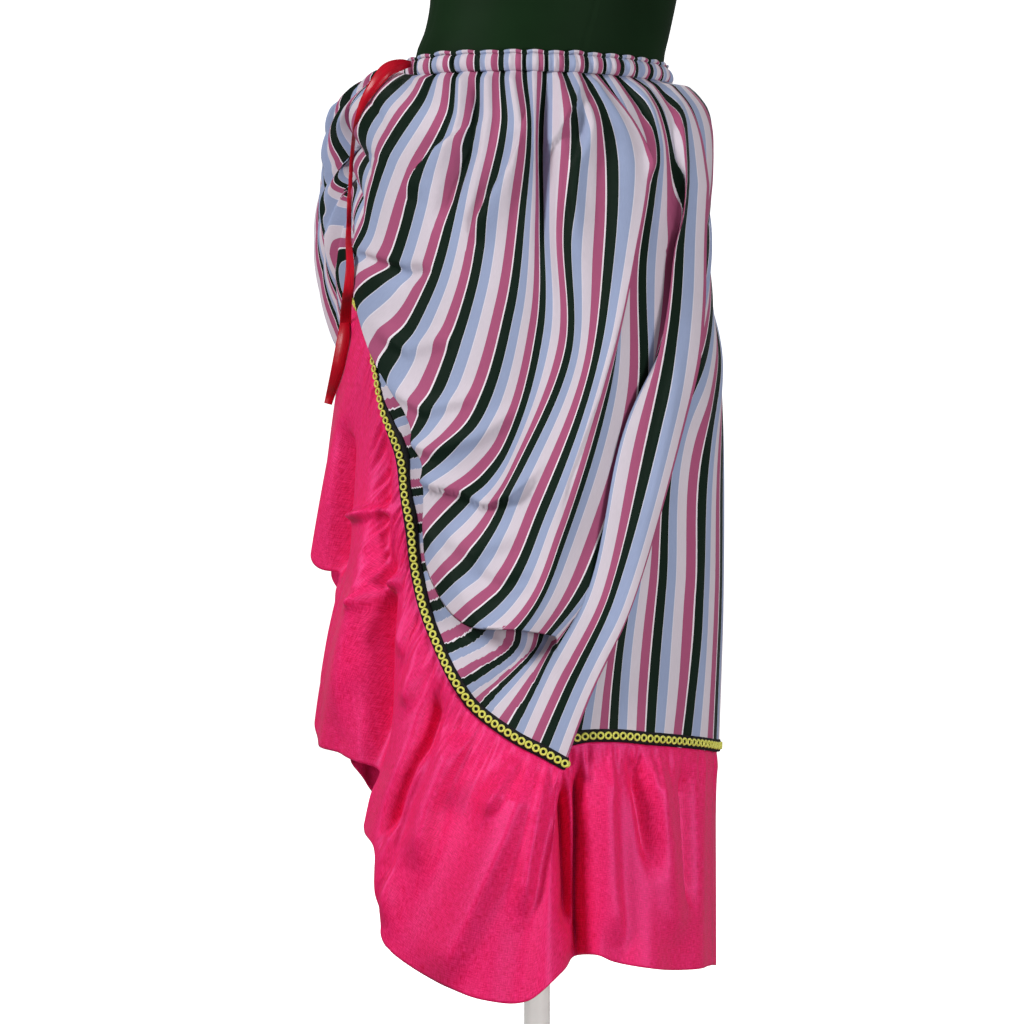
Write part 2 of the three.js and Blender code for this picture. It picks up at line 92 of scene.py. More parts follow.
sweep_reach = 9.0  # m, from the stand to each edge of the paper, and its height
sweep_bend = 1.5  # m, radius between floor and backdrop
bend_starts = sweep_reach - sweep_bend
sweep_profile = [(-sweep_reach, 0.0), (bend_starts, 0.0)]
for step in range(1, 13):
    lean = step * math.pi / 24
    sweep_profile.append((bend_starts + sweep_bend * math.sin(lean), sweep_bend * (1 - math.cos(lean))))
sweep_profile.append((sweep_reach, sweep_reach))
sweep_points = [(x, y, z) for y, z in sweep_profile for x in (-sweep_reach, sweep_reach)]
sweep_faces = [(2 * i, 2 * i + 1, 2 * i + 3, 2 * i + 2) for i in range(len(sweep_profile) - 1)]
sweep = link_mesh("paper_sweep", sweep_points, sweep_faces)
paper, paper_tree, paper_shader = new_material("white_paper", 0.9, 0.1)
paper_shader.inputs["Base Color"].default_value = (0.95, 0.95, 0.95, 1)
paper_shader.inputs["Emission Color"].default_value = (1, 1, 1, 1)
paper_shader.inputs["Emission Strength"].default_value = 0.95
sweep.data.materials.append(paper)
# the paper is only a backdrop: the air of the room and the boxes light the skirt
sweep.visible_diffuse = False
sweep.visible_glossy = False

world = bpy.data.worlds.new("studio_air")
bpy.context.scene.world = world
world.use_nodes = True
room = wire(world.node_tree, "TexCoord", {})
room_up = wire(world.node_tree, "SeparateXYZ", {"Vector": room.outputs["Generated"]}).outputs["Z"]
room_light = wire(world.node_tree, "MapRange", {0: room_up, 1: -0.6, 2: 0.9, 3: 0.14, 4: 0.34}).outputs[0]
air = world.node_tree.nodes["Background"]
air.inputs["Color"].default_value = (1.0, 1.0, 1.0, 1)
world.node_tree.links.new(room_light, air.inputs["Strength"])
bpy.context.scene.view_settings.view_transform = "Standard"


def soft_box(name, place, target, side, watts):
    data = bpy.data.lights.new(name, "AREA")
    data.shape = "SQUARE"
    data.size = side
    data.energy = watts
    lamp = bpy.data.objects.new(name, data)
    lamp.location = place
    lamp.rotation_euler = (Vector(target) - Vector(place)).to_track_quat("-Z", "Y").to_euler()
    bpy.context.scene.collection.objects.link(lamp)


soft_box("key_box", (-2.7, -2.3, 2.2), (0, 0, 0.45), 0.8, 108)
soft_box("fill_box", (2.2, -2.5, 0.4), (0.1, 0, 0.15), 0.9, 60)
soft_box("back_box", (0.5, 2.2, 2.8), (0, 0, 0.7), 2.0, 40)

# Striped panels, front and back, of cotton with a satin finish, gathered into the waist and hitched up at the
# seam that is at the left from the front. Threads are counted round from it in runs of stripes, and drop from
# the waist (0) to the hem (1). Sizes are in mm and degrees; heights are as seen on the plane of the axis.
repeat = 45.0  # one run of stripes
front_repeats = 19
all_repeats = 40
waist_z = 994.0
wall = 1.5  # what a layer of cloth takes up with its folds and stitches
cut_length = 700.0  # of a thread as cut
hung_length = 620.0  # of a thread as it hangs, for what happens within a few mm of the casing
shoulder_rise = 20.0  # how far the bunched cloth over the hitched seam stands up and out
seam_gap = 0.001  # in runs of stripes, between a seam and the edge of a panel
# height, half width, half depth and turn of the skirt under its folds
hull = np.array([
    (298, 180, 162, 0),
    (478, 184, 160, 0),
    (648, 184, 158, 0),
    (838, 182, 150, 10),
    (928, 178, 140, 18),
    (968, 168, 129, 22),
    (1004, 137, 107, 25),
    (1018, 137, 107, 25),
], dtype=float)
drops = np.array([0, 0.12, 0.3, 0.52, 0.76, 0.9, 1])
hip_hollow = {"depth": 13.0, "z": 840.0, "angle": 45.0, "height": 95.0}  # under the right hip
# thread, its x at 12, 30, 52, 76 and 90% of its drop, x and height of its end, height of the fold on it,
# degrees that its top is turned behind the right hip
front_threads = np.array([
    (0, -160, -178, -182, -185, -185, -185, 793, 2, 0),
    (1, -146, -170, -177, -179, -175, -171, 753, 3, 0),
    (2, -122, -154, -170, -170, -166, -163, 708, 4, 0),
    (3, -88, -115, -139, -162, -156, -155, 658, 5, 0),
    (4, -66, -80, -101, -138, -137, -143, 620, 5, 0),
    (5, -33, -48, -66, -99, -123, -138, 583, 4, 0),
    (6, -7, -14, -27, -61, -115, -133, 548, 4, 0),
    (7, 4, 5, 3, -32, -89, -128, 508, -3, 0),
    (8, 38, 30, 31, -24, -62, -119, 466, 5, 0),
    (9, 73, 73, 54, 4, -35, -103, 423, 9, 0),
    (9.7, 112, 99, 67, 21, -18, -92, 398, 15, 0),
    (10.3, 100, 87, 76, 31, -12, -79, 380, 8, 0),
    (10.7, 112, 97, 92, 46, -5, -70, 370, 1, 0),
    (11.3, 122, 116, 112, 66, -1, -55, 356, -1, 0),
    (12.2, 135, 145, 89, 53, 6, -25, 335, 7, 0),
    (12.7, 142, 134, 104, 69, 23, -8, 326, 13, 0),
    (13, 147, 141, 117, 75, 32, 3, 321, 15, 0),
    (13.75, 172, 169, 143, 94, 53, 28, 308, 19, 0),
    (14.3, 160, 157, 127, 76, 40, 15, 318, 9, 6),
    (15, 168, 148, 120, 73, 52, 38, 333, 1, 14),
    (16, 174, 152, 114, 90, 80, 76, 336, 1, 24),
    (17, 176, 163, 138, 125, 117, 113, 333, 1, 34),
    (18, 178, 173, 169, 160, 156, 149, 330, 1, 42),
    (19, 179, 182, 185, 184, 181, 179, 326, 2, 50),
], dtype=float)
# thread, direction of its waist and hem round the axis, height of its end, how far it puffs out
back_threads = np.array([
    (19, -45, 10, 326, 0),
    (20.5, -56, -9, 327, 0),
    (22, -67, -29, 329, 1),
    (24, -81, -54, 338, 7),
    (26, -96, -80, 356, 2),
    (28, -111, -104, 385, 9),
    (30, -125, -128, 425, 5),
    (32, -140, -147, 478, 12),
    (34, -154, -160, 548, 25),
    (36, -168, -165, 628, 39),
    (38, -181, -169, 712, 36),
    (39.2, -191, -173, 765, 18),
    (40, -198, -176, 793, 0),
], dtype=float)
# line where the hitched front sags over itself: thread, its drop there, bulge above the line, step under it
sag_line = np.array([
    (0, 0.62, 0, 0),
    (1, 0.61, 5, 6),
    (2, 0.63, 9, 9),
    (3, 0.67, 13, 13),
    (4, 0.79, 11, 13),
    (5, 0.866, 9, 11),
    (6, 0.877, 11, 11),
    (7, 0.955, 10, 8),
    (8, 0.965, 12, 9),
    (9, 0.95, 18, 14),
    (10, 0.904, 22, 19),
    (11, 0.875, 19, 18),
    (11.7, 0.862, 9, 7),
    (12.4, 0.86, 3, 0),
    (13.2, 0.86, 0, 0),
    (19, 0.86, 0, 0),
], dtype=float)
# pleats that run down from the casing: thread, depth, steep side (1 right, -1 left), share of the drop that
# they last
front_pleats = [
    (0.9, 4, 1, 0.25), (1.9, 5, 1, 0.35), (3.45, 6, 1, 0.3), (4.5, 7, 1, 0.3), (5.55, 8, 1, 0.3),
    (6.45, 6, -1, 0.2), (7.6, 8, -1, 0.45), (8.5, 6, 1, 0.22), (9.3, 6, 1, 0.2), (11.2, 6, -1, 0.25),
    (12.1, 6, 1, 0.3), (15.1, 6, 1, 0.35), (16.2, 8, -1, 0.4), (17.1, 5, 1, 0.3), (18.2, 7, -1, 0.5),
]
# creases of the front: height, width on the right (or upper) side, width on the left (or lower) side, and the
# places they run through, x and height as laid out, from the top down or from left to right
front_creases = [
    (12, 18, 2.5, [(-7, 973), (-16, 939), (-27, 912), (-39, 893), (-54, 866), (-66, 837)]),
    (10, 16, 2.5, [(-69, 950), (-87, 938), (-99, 929), (-118, 907), (-130, 880)]),
    (-10, 9, 5, [(-66, 1000), (-64, 965), (-69, 928), (-88, 889), (-102, 855)]),
    (12, 3, 14, [(42, 995), (35, 973), (25, 956), (18, 943), (8, 925)]),
    (9, 12, 3, [(55, 985), (51, 953), (46, 935), (36, 912), (34, 880), (38, 840)]),
    (7, 9, 3, [(96, 990), (108, 965), (113, 930), (113, 900)]),
    (10, 10, 2.5, [(131, 985), (138, 955), (140, 915), (138, 880), (130, 830)]),
    (-9, 5, 9, [(-186, 823), (-162, 814), (-132, 804), (-112, 808)]),
    (6, 10, 8, [(-162, 752), (-127, 730), (-82, 742)]),
    (6, 10, 6, [(-146, 690), (-110, 668), (-62, 682)]),
    (7, 9, 7, [(-138, 640), (-105, 628), (-60, 640), (-20, 668)]),
    (12, 12, 3, [(-120, 600), (-101, 591), (-73, 586), (-50, 573), (-25, 582), (0, 605)]),
    (6, 14, 10, [(-96, 545), (-60, 528), (-20, 545)]),
    (-7, 8, 8, [(-70, 505), (-40, 488), (0, 498)]),
    (4, 3, 14, [(86, 778), (72, 722), (60, 680), (30, 600), (20, 560)]),
    (5, 16, 4, [(143, 730), (128, 655), (110, 575), (90, 490), (62, 410)]),
    (4, 10, 10, [(168, 740), (166, 620), (160, 500), (158, 400)]),
]
pleat_luck = np.random.default_rng(7)
back_pleats = []
for count in np.arange(19.7, 39.4, 0.92):
    thread, depth, last = pleat_luck.uniform((count - 0.2, 5.0, 0.15), (count + 0.2, 12.0, 0.6))
    back_pleats.append((thread, depth, 1 if depth > 8 else -1, last))
# long soft folds of the back: thread, height, width in threads, drops between which they show
back_folds = [
    (20.8, -3, 0.6, 0.25, 1.1), (23.1, -9, 0.4, 0.2, 1.1), (25.2, 9, 0.5, 0.1, 1.1),
    (27.3, -9, 0.4, 0.3, 1.1), (29.0, 10, 0.5, 0.15, 1.1), (31.2, -9, 0.4, 0.2, 1.1),
    (33.0, 10, 0.45, 0.1, 0.9), (34.8, -9, 0.4, 0.1, 0.9), (36.4, 8, 0.4, 0.1, 0.85),
]
gather_luck = np.random.default_rng(3).uniform(0.7, 1.25, all_repeats)


def gather_size(k):
    """Size of the gather in a thread's run of stripes, about 1."""
    return gather_luck[np.mod(np.floor(k), all_repeats).astype(int)]


def from_hitch(k):
    """Runs of stripes between a thread and the hitched seam."""
    return np.minimum(k, all_repeats - k)


def off_hem(drop):
    """1 on the cloth, fading to 0 by the hem, so that the hem lies flat."""
    return np.clip((0.985 - drop) / 0.05, 0, 1)


def bell(u):
    return np.exp(-np.square(u))


def smooth_step(low, high, u):
    f = np.clip((u - low) / (high - low), 0, 1)
    return f * f * (3 - 2 * f)


def shoulder(k, drop):
    """Share of the bunched shoulder over the hitched seam that a point of the cloth has, and of the smaller
    one over the right hip, where the gathers puff out under the casing."""
    right = 0.45 * bell((k - 15.5) / 2.2) * smooth_step(0, 0.012, drop) * np.exp(-drop / 0.06)
    crest = 0.55 * bell((drop - 0.11) / 0.09) * smooth_step(0, 0.03, drop)
    arch = np.sqrt(np.maximum(np.sin(np.pi * np.minimum(drop / 0.3, 1)), 0))
    return right + bell(from_hitch(k) / np.where(k <= front_repeats, 1.3, 3.0)) * (crest + arch)


def hermite(f, span, v0, v1, s0, s1):
    """Between two values, v0 and v1, with the slopes s0 and s1 there."""
    f2 = f * f
    f3 = f2 * f
    ends = (2 * f3 - 3 * f2 + 1) * v0 + (3 * f2 - 2 * f3) * v1
    return ends + (f3 - 2 * f2 + f) * span * s0 + (f3 - f2) * span * s1


def span_at(keys, u):
    """The span between two keys that each u falls in, its length, and the share of it that lies before u."""
    i = np.clip(np.searchsorted(keys, u, side="right") - 1, 0, len(keys) - 2)
    span = keys[i + 1] - keys[i]
    return i, span, np.clip((u - keys[i]) / span, 0, 1)


def slopes_at(keys, values):
    """Slope of the rows of values at each key."""
    lo = np.maximum(np.arange(len(keys)) - 1, 0)
    hi = np.minimum(np.arange(len(keys)) + 1, len(keys) - 1)
    return ((values[hi] - values[lo]).T / (keys[hi] - keys[lo])).T


def through(keys, values, u):
    """Smooth curve through values (rows by keys), read at every u."""
    i, span, f = span_at(keys, u)
    slopes = slopes_at(keys, values)
    more = (Ellipsis,) + (None,) * (values.ndim - 1)
    return hermite(f[more], span[more], values[i], values[i + 1], slopes[i], slopes[i + 1])


def ellipse_reach(half_width, half_depth, turn, angle):
    """From the middle to the rim of an ellipse turned round the axis."""
    u = np.radians(angle + turn)
    return 1 / np.hypot(np.cos(u) / half_width, np.sin(u) / half_depth)


def hull_reach(angle, z):
    """From the axis to the skirt under its folds, in a direction: 0 is right, 90 front, 180 left."""
    level = np.clip(z, hull[0, 0], hull[-1, 0])
    half = through(hull[:, 0], hull[:, 1:], level)
    hollow = bell(angle / hip_hollow["angle"]) * bell((z - hip_hollow["z"]) / hip_hollow["height"])
    return ellipse_reach(half[..., 0], half[..., 1], half[..., 2], angle) - hip_hollow["depth"] * hollow


def front_angle(x, z, out):
    """Direction in which the front of the hull is seen at x."""
    right = np.zeros_like(np.asarray(x, float))
    left = right + 180
    for _ in range(24):
        middle = (right + left) / 2
        inside = (hull_reach(middle, z) + out) * np.cos(np.radians(middle)) > x
        right = np.where(inside, middle, right)
        left = np.where(inside, left, middle)
    return (right + left) / 2


def carried(angle, radius, z):
    """Points at a direction, reach and laid-out height, carried to their depth along the sight line."""
    y = -radius * np.sin(np.radians(angle))
    x = radius * np.cos(np.radians(angle))
    near = (eye["distance"] + y) / eye["distance"]
    return np.stack([eye["x"] + (x - eye["x"]) * near, y, eye["z"] + (z - eye["z"]) * near], -1)


def level_height(angle, z):
    """Laid-out height at which the hull is really at height z."""
    y = -hull_reach(angle, z) * np.sin(np.radians(angle))
    return eye["z"] + (z - eye["z"]) * eye["distance"] / (eye["distance"] + y)


front_k = front_threads[:, 0]
front_lift = front_threads[:, 8]
seen_z = waist_z + (front_threads[:, 7:8] - waist_z) * drops[1:]
below = front_angle(front_threads[:, 1:7], seen_z, np.maximum(front_lift, 0)[:, None])
below[:, 0] -= front_threads[:, 9]
below[:, 1] -= 0.4 * front_threads[:, 9]
below[0] += 6  # the hitched seam lies a little further round to the back
hitched_seam, right_seam = 162, -45  # directions of the seams at the waist
front_angles = np.column_stack([hitched_seam + (right_seam - hitched_seam) * front_k / front_repeats, below])
back_k = back_threads[:, 0]
# the back's threads turn evenly down their drop, but early where they hang from the hitch
hitched = bell((all_repeats - back_k) / 3)[:, None]
slow = drops * drops * (3 - 2 * drops)
turning = slow + (1 - (1 - drops) ** 6 - slow) * hitched
back_angles = back_threads[:, 1:2] + (back_threads[:, 2:3] - back_threads[:, 1:2]) * turning
back_angles[0] = front_angles[-1]
back_angles[-1] = front_angles[0] - 360


def either(k, front_value, back_value):
    return np.where(k <= front_repeats, front_value, back_value)


def thread_angle(k, drop):
    """Direction of a thread from the axis at a share of its drop."""
    flat = np.ravel(k)
    rows = np.where((flat <= front_repeats)[:, None], through(front_k, front_angles, flat),
                    through(back_k, back_angles, flat))
    i, span, f = span_at(drops, np.ravel(drop))
    slopes = slopes_at(drops, rows.T).T
    pick = np.arange(len(flat))
    out = hermite(f, span, rows[pick, i], rows[pick, i + 1], slopes[pick, i], slopes[pick, i + 1])
    return out.reshape(np.shape(k))


def hem_height(k):
    return either(k, through(front_k, front_threads[:, 7], k), through(back_k, back_threads[:, 3], k))


def pleated(k, drop):
    """Pleats under the casing: each rises slowly on one side and drops steeply on the other."""
    out = np.zeros_like(k)
    for thread, depth, steep, last in front_pleats + back_pleats:
        across = (k - thread) * steep
        profile = np.where(across < 0, bell(across / 0.42), bell(across / 0.11))
        out += depth * profile * np.exp(-np.square(drop / last)) * smooth_step(0, 0.02, drop)
    return out


def creased(lines, x, z):
    """How far the creases stand out at each place of a cloth as laid out."""
    out = np.zeros_like(x)
    for height, wide, narrow, places in lines:
        far, side, share = np.full_like(x, 1e6), np.zeros_like(x), np.zeros_like(x)
        for i, ((x0, z0), (x1, z1)) in enumerate(zip(places, places[1:])):
            dx, dz = x1 - x0, z1 - z0
            on = np.clip(((x - x0) * dx + (z - z0) * dz) / (dx ** 2 + dz ** 2), 0, 1)
            off_x, off_z = x - x0 - on * dx, z - z0 - on * dz
            nearer = np.hypot(off_x, off_z) < far
            far = np.where(nearer, np.hypot(off_x, off_z), far)
            side = np.where(nearer, dx * off_z - dz * off_x, side)
            share = np.where(nearer, (i + on) / (len(places) - 1), share)
        ends = smooth_step(-0.08, 0.2, share) * (1 - smooth_step(0.8, 1.08, share))
        out = out + height * bell(far / np.where(side > 0, wide, narrow)) * ends
    return out


def off_seams(k):
    """1 on the front panels, fading to 0 at the seams, so that creases end before them."""
    return np.clip(k / 0.4, 0, 1) * np.clip((front_repeats - k) / 0.8, 0, 1)


def sag(k, drop):
    """Where the front sags over itself: bulge, step, the share of the step at a point, and the line."""
    rows = through(sag_line[:, 0], sag_line[:, 1:], np.minimum(k, front_repeats))
    line, bulge, step = np.moveaxis(rows, -1, 0)
    over = np.where(drop <= line, bell((line - drop) / 0.09), bell((drop - line) / 0.02))
    under = (drop > line) * (1 - np.exp(-(drop - line) / 0.003))
    rest = np.clip((drop - line) / np.maximum(1 - line, 0.01), 0, 1)
    front = k <= front_repeats
    return bulge * over * front, step * front, under * (1 - smooth_step(0.25, 0.95, rest)), line


def stand_off(k, drop):
    """How far the cloth stands off the hull: folds, pleats, gathers, ruching by the seam and sags."""
    body = np.minimum(drop / 0.15, 1) * (1 - 0.45 * np.maximum(drop - 0.8, 0) / 0.2)
    puffs = through(back_k, back_threads[:, 4], k) * np.sin(np.pi * np.minimum(drop * 1.15, 1))
    fold = either(k, through(front_k, front_lift, k), 2 + puffs)
    gather = 8 * (gather_size(k) * np.abs(np.sin(np.pi * k)) ** 0.6 - 0.5) * np.exp(-drop * 9)
    groove = -14 * bell((k - 7) / 0.3) * bell((drop - 0.17) / 0.17) * np.minimum(drop / 0.06, 1)
    puckers = np.abs(np.sin(np.pi * (drop * 7 - 0.3 * from_hitch(k)))) ** 0.8 - 0.55
    by_seam = bell(from_hitch(k) / either(k, 1.1, 2.2))
    ruche = 13 * puckers * by_seam * np.maximum(np.sin(np.pi * drop), 0) ** 0.7
    for thread, height, width, first, last in back_folds:
        shown = smooth_step(first, first + 0.2, drop) * (1 - smooth_step(last - 0.15, last, drop))
        fold = fold + height * bell((k - thread) / width) * shown * (1 - smooth_step(0.9, 1, drop))
    bulge, step, under, _ = sag(k, drop)
    sagging = bulge * off_hem(drop) - step * under
    bunched = shoulder_rise * shoulder(k, drop)
    tucked_in = 5.5 * np.exp(-drop * hung_length / 5)
    return fold * body + gather + groove + ruche + bunched + pleated(k, drop) + sagging - tucked_in


def cloth_point(count, drop):
    """Where a thread of the striped cloth is at a share of its drop, with every fold and crease."""
    k = np.mod(count, all_repeats)
    angle = thread_angle(k, drop)
    _, step, under, line = sag(k, drop)
    angle = angle + 8 * bell((k - 2.9) / 1.1) * bell((drop - line + 0.01) / 0.06)
    top = level_height(thread_angle(k, np.zeros_like(drop)), waist_z - wall)
    z = top + (hem_height(k) - top) * drop + shoulder_rise * shoulder(k, drop)
    z = z + 2 * np.exp(-drop * hung_length / 4)
    z = z + 0.55 * step * np.exp(-np.abs(drop - line - 0.008) / 0.008) * (drop > line)
    radius = hull_reach(angle, z) + stand_off(k, drop)
    above_sag = np.clip((line - drop + 0.01) / 0.01, 0, 1) * off_hem(drop)
    clear_of_sag = (k > 12.4) * (drop > line) * off_hem(drop)  # the sag ends at this thread
    shown = (above_sag + clear_of_sag * (1 - above_sag)) * (k <= front_repeats) * off_seams(k)
    return carried(angle, radius + shown * creased(front_creases, radius * np.cos(np.radians(angle)), z), z)


def grid_faces(points, first=0):
    """Faces over a grid of points that are numbered row by row."""
    index = first + np.arange(points.shape[0] * points.shape[1]).reshape(points.shape[:2])
    corners = [index[:-1, :-1], index[1:, :-1], index[1:, 1:], index[:-1, 1:]]
    return np.stack(corners, -1).reshape(-1, 4).tolist()


def cloth_grid(name, points, marks):
    """A sheet of cloth over a grid of points (mm), with its threads and length in runs of stripes as a UV."""
    made = link_mesh(name, points.reshape(-1, 3) / 1000, grid_faces(points))
    uv = made.data.uv_layers.new(name="cut")
    corner = np.empty(len(made.data.loops), dtype=np.int32)
    made.data.loops.foreach_get("vertex_index", corner)
    uv.data.foreach_set("uv", marks.reshape(-1, 2)[corner].astype(np.float32).ravel())
    return made


def thicken(made, thick):
    """The sheet's other side, inwards of it."""
    shell = made.modifiers.new("thickness", "SOLIDIFY")
    shell.thickness = thick / 1000
    shell.offset = -1
    shell.use_even_offset = False


def finished(made, material, node):
    made.data.materials.append(material)
    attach(made, "root")
    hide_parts(node)


hem_k = np.linspace(0.01, 14, 280)
hem_line = cloth_point(hem_k, np.ones_like(hem_k))
seam_stripe_z = 784.0  # height of a green stripe where the threads by the hitched seam lie level
level_repeat = 41.5


def stripe_run(k, drop, points):
    """Where in the run of stripes a point lies: along its thread, but square to the hem under the sag, and
    level where the cloth is bunched at the hitched seam."""
    run = k.astype(float).copy()
    _, step, _, line = sag(k, drop)
    strip = (drop > line) * np.clip(step / 5, 0, 1)
    rows = np.nonzero(strip.ravel() > 0.01)[0]
    for part in np.array_split(rows, 12):  # in turns, so that the distances take little memory
        if len(part):
            apart = np.linalg.norm(points.reshape(-1, 3)[part, None] - hem_line[None], axis=2)
            nearest = apart.argmin(1)
            weight = strip.ravel()[part] * (1 - smooth_step(50, 100, apart[np.arange(len(part)), nearest]))
            run.ravel()[part] += weight * (hem_k[nearest] - run.ravel()[part])
    level = 1 - smooth_step(either(k, 0.3, 0.5), either(k, 1.2, 3.4), from_hitch(k))
    level = level * (1 - smooth_step(852, 905, points[..., 2]))
    laid = (seam_stripe_z - points[..., 2]) / level_repeat + np.where(k > front_repeats, all_repeats, 0)
    return run + level * (laid - run)


def body_marks(k, drop, points):
    return np.stack([stripe_run(k, drop, points), drop * cut_length / repeat], -1)


def worked(tree, operation, first, second=0.0):
    return wire(tree, "Math", {0: first, 1: second}, operation=operation).outputs[0]


def linear(*colour):
    """A screen colour (0 to 255) as the shaders take it."""
    return tuple(((c / 255 + 0.055) / 1.055) ** 2.4 if c > 10 else c / 3294.6 for c in colour) + (1.0,)


striped, striped_tree, striped_shader = new_material("striped_cotton", 0.42, 0.07)
cut = wire(striped_tree, "UVMap", {}, uv_map="cut")
split = wire(striped_tree, "SeparateXYZ", {"Vector": cut.outputs["UV"]})
across, along = split.outputs["X"], split.outputs["Y"]
stripe_start = 0.12  # share of the run that lies before a counted thread: it is the middle of a green stripe
# where each colour starts in a run: green, white edge, blue, white edge, pale pink, mauve, white edge
stripe_rows = [
    (0.0, linear(17, 33, 24)),
    (0.235, linear(214, 212, 224)),
    (0.247, linear(153, 165, 197)),
    (0.482, linear(224, 218, 228)),
    (0.497, linear(212, 201, 211)),
    (0.738, linear(170, 85, 121)),
    (0.962, linear(238, 228, 236)),
]
run_share = worked(striped_tree, "FRACT", worked(striped_tree, "ADD", across, stripe_start))
bands = wire(striped_tree, "ValToRGB", {"Fac": run_share})
bands.color_ramp.interpolation = "CONSTANT"
while len(bands.color_ramp.elements) < len(stripe_rows):
    bands.color_ramp.elements.new(0.5)
for element, (position, colour) in zip(bands.color_ramp.elements, stripe_rows):
    element.position = position
    element.color = colour


def streaks(tree, uv, across_scale, along_scale, detail=2.0):
    """Noise drawn out along one direction of the cloth, as its yarns are."""
    stretched = wire(tree, "Mapping", {"Vector": uv, "Scale": (across_scale, along_scale, 1)})
    noise = wire(tree, "TexNoise", {"Vector": stretched.outputs[0], "Scale": 1.0, "Detail": detail})
    return noise.outputs["Fac"]


def cloud(tree, scale, detail=3.0):
    place = wire(tree, "TexCoord", {}).outputs["Object"]
    return wire(tree, "TexNoise", {"Vector": place, "Scale": scale, "Detail": detail}).outputs["Fac"]


def spread_to(tree, value, low, high):
    """The middle of a noise, spread between two values."""
    return wire(tree, "MapRange", {0: value, 1: 0.3, 2: 0.7, 3: low, 4: high}).outputs[0]


def two_tone(tree, shader, share, dark, light, low=0.0, high=1.0, wash=None):
    """Dye a shader between two tones by a share. A wash makes it lighter or darker in places."""
    ramp = wire(tree, "ValToRGB", {"Fac": share})
    for element, position, colour in zip(ramp.color_ramp.elements, (low, high), (dark, light)):
        element.position = position
        element.color = linear(*colour)
    dye = ramp.outputs["Color"]
    if wash is not None:
        dye = wire(tree, "VectorMath", {0: dye, 1: wash}, operation="MULTIPLY").outputs[0]
    tree.links.new(dye, shader.inputs["Base Color"])


def bumped(tree, shader, layers):
    """Bump layers on a shader, each (height, distance in metres, strength)."""
    normal = None
    for height, distance, strength in layers:
        inputs = {"Height": height, "Distance": distance, "Strength": strength}
        if normal is not None:
            inputs["Normal"] = normal
        normal = wire(tree, "Bump", inputs).outputs[0]
    tree.links.new(normal, shader.inputs["Normal"])


yarn = streaks(striped_tree, cut.outputs["UV"], 90, 5)
wash = cloud(striped_tree, 11)
yarn_tone = spread_to(striped_tree, yarn, 0.96, 1.03)
tone = worked(striped_tree, "MULTIPLY", yarn_tone, spread_to(striped_tree, wash, 0.95, 1.03))
toned = wire(striped_tree, "VectorMath", {0: bands.outputs["Color"], 1: tone}, operation="MULTIPLY")
striped_tree.links.new(toned.outputs[0], striped_shader.inputs["Base Color"])
yarns_per_run = 70
slant = worked(striped_tree, "ADD", across, along)
twill = worked(striped_tree, "SINE", worked(striped_tree, "MULTIPLY", slant, 2 * math.pi * yarns_per_run))
crease = cloud(striped_tree, 42, 4)
bumped(striped_tree, striped_shader, [(crease, 0.004, 0.16), (yarn, 0.0004, 0.25), (twill, 0.00012, 0.35)])
striped_tree.links.new(spread_to(striped_tree, wash, 0.38, 0.5), striped_shader.inputs["Roughness"])
striped_shader.inputs["Sheen Weight"].default_value = 0.02
striped_shader.inputs["Sheen Roughness"].default_value = 0.4

# Columns lie closer where the folds are. One row runs along the line where the front sags.
front_columns = np.concatenate([
    np.linspace(seam_gap, 14.2, 200), np.linspace(14.32, front_repeats - seam_gap, 46)])
above = np.concatenate([np.linspace(0, 0.04, 12), np.linspace(0.045, 0.97, 120), np.linspace(0.976, 1, 10)])
under_sag = np.concatenate([np.linspace(0.002, 0.1, 10), np.linspace(0.12, 1, 36)])
line_drop = through(sag_line[:, 0], sag_line[:, 1], front_columns)
front_drops = np.vstack([above[:, None] * line_drop, line_drop + under_sag[:, None] * (1 - line_drop)])
front_grid = np.broadcast_to(front_columns, front_drops.shape)
front_points = cloth_point(front_grid, front_drops)
body_front = cloth_grid("striped_front", front_points, body_marks(front_grid, front_drops, front_points))
back_drops = np.concatenate([np.linspace(0, 0.03, 10), np.linspace(0.035, 1, 140)])
back_columns = np.linspace(front_repeats + seam_gap, all_repeats - seam_gap, 300)
back_grid, back_drops = np.meshgrid(back_columns, back_drops)
back_points = cloth_point(back_grid, back_drops)
body_back = cloth_grid("striped_back", back_points, body_marks(back_grid, back_drops, back_points))
for panel, node in ((body_front, "body_front"), (body_back, "body_back")):
    thicken(panel, 0.8)
    finished(panel, striped, node)

# Casing: the waist edge of the striped cotton folded over elastic and stitched, puckered into one puff a
# run of stripes, with a small frill above the elastic. It is one closed tube round the waist.
casing_height = 17.0
frill_height = 1.5
elastic_share = 0.84  # of the casing's outside that the elastic draws in; the frill is above it
waist_section = (129.6, 98.6, 25)  # half width, half depth and turn of the form at the waist
waist_x = 3.0
waist_room = 1.6  # between the form and the casing's inside
section_length = 20.0  # of cloth up the casing's outside


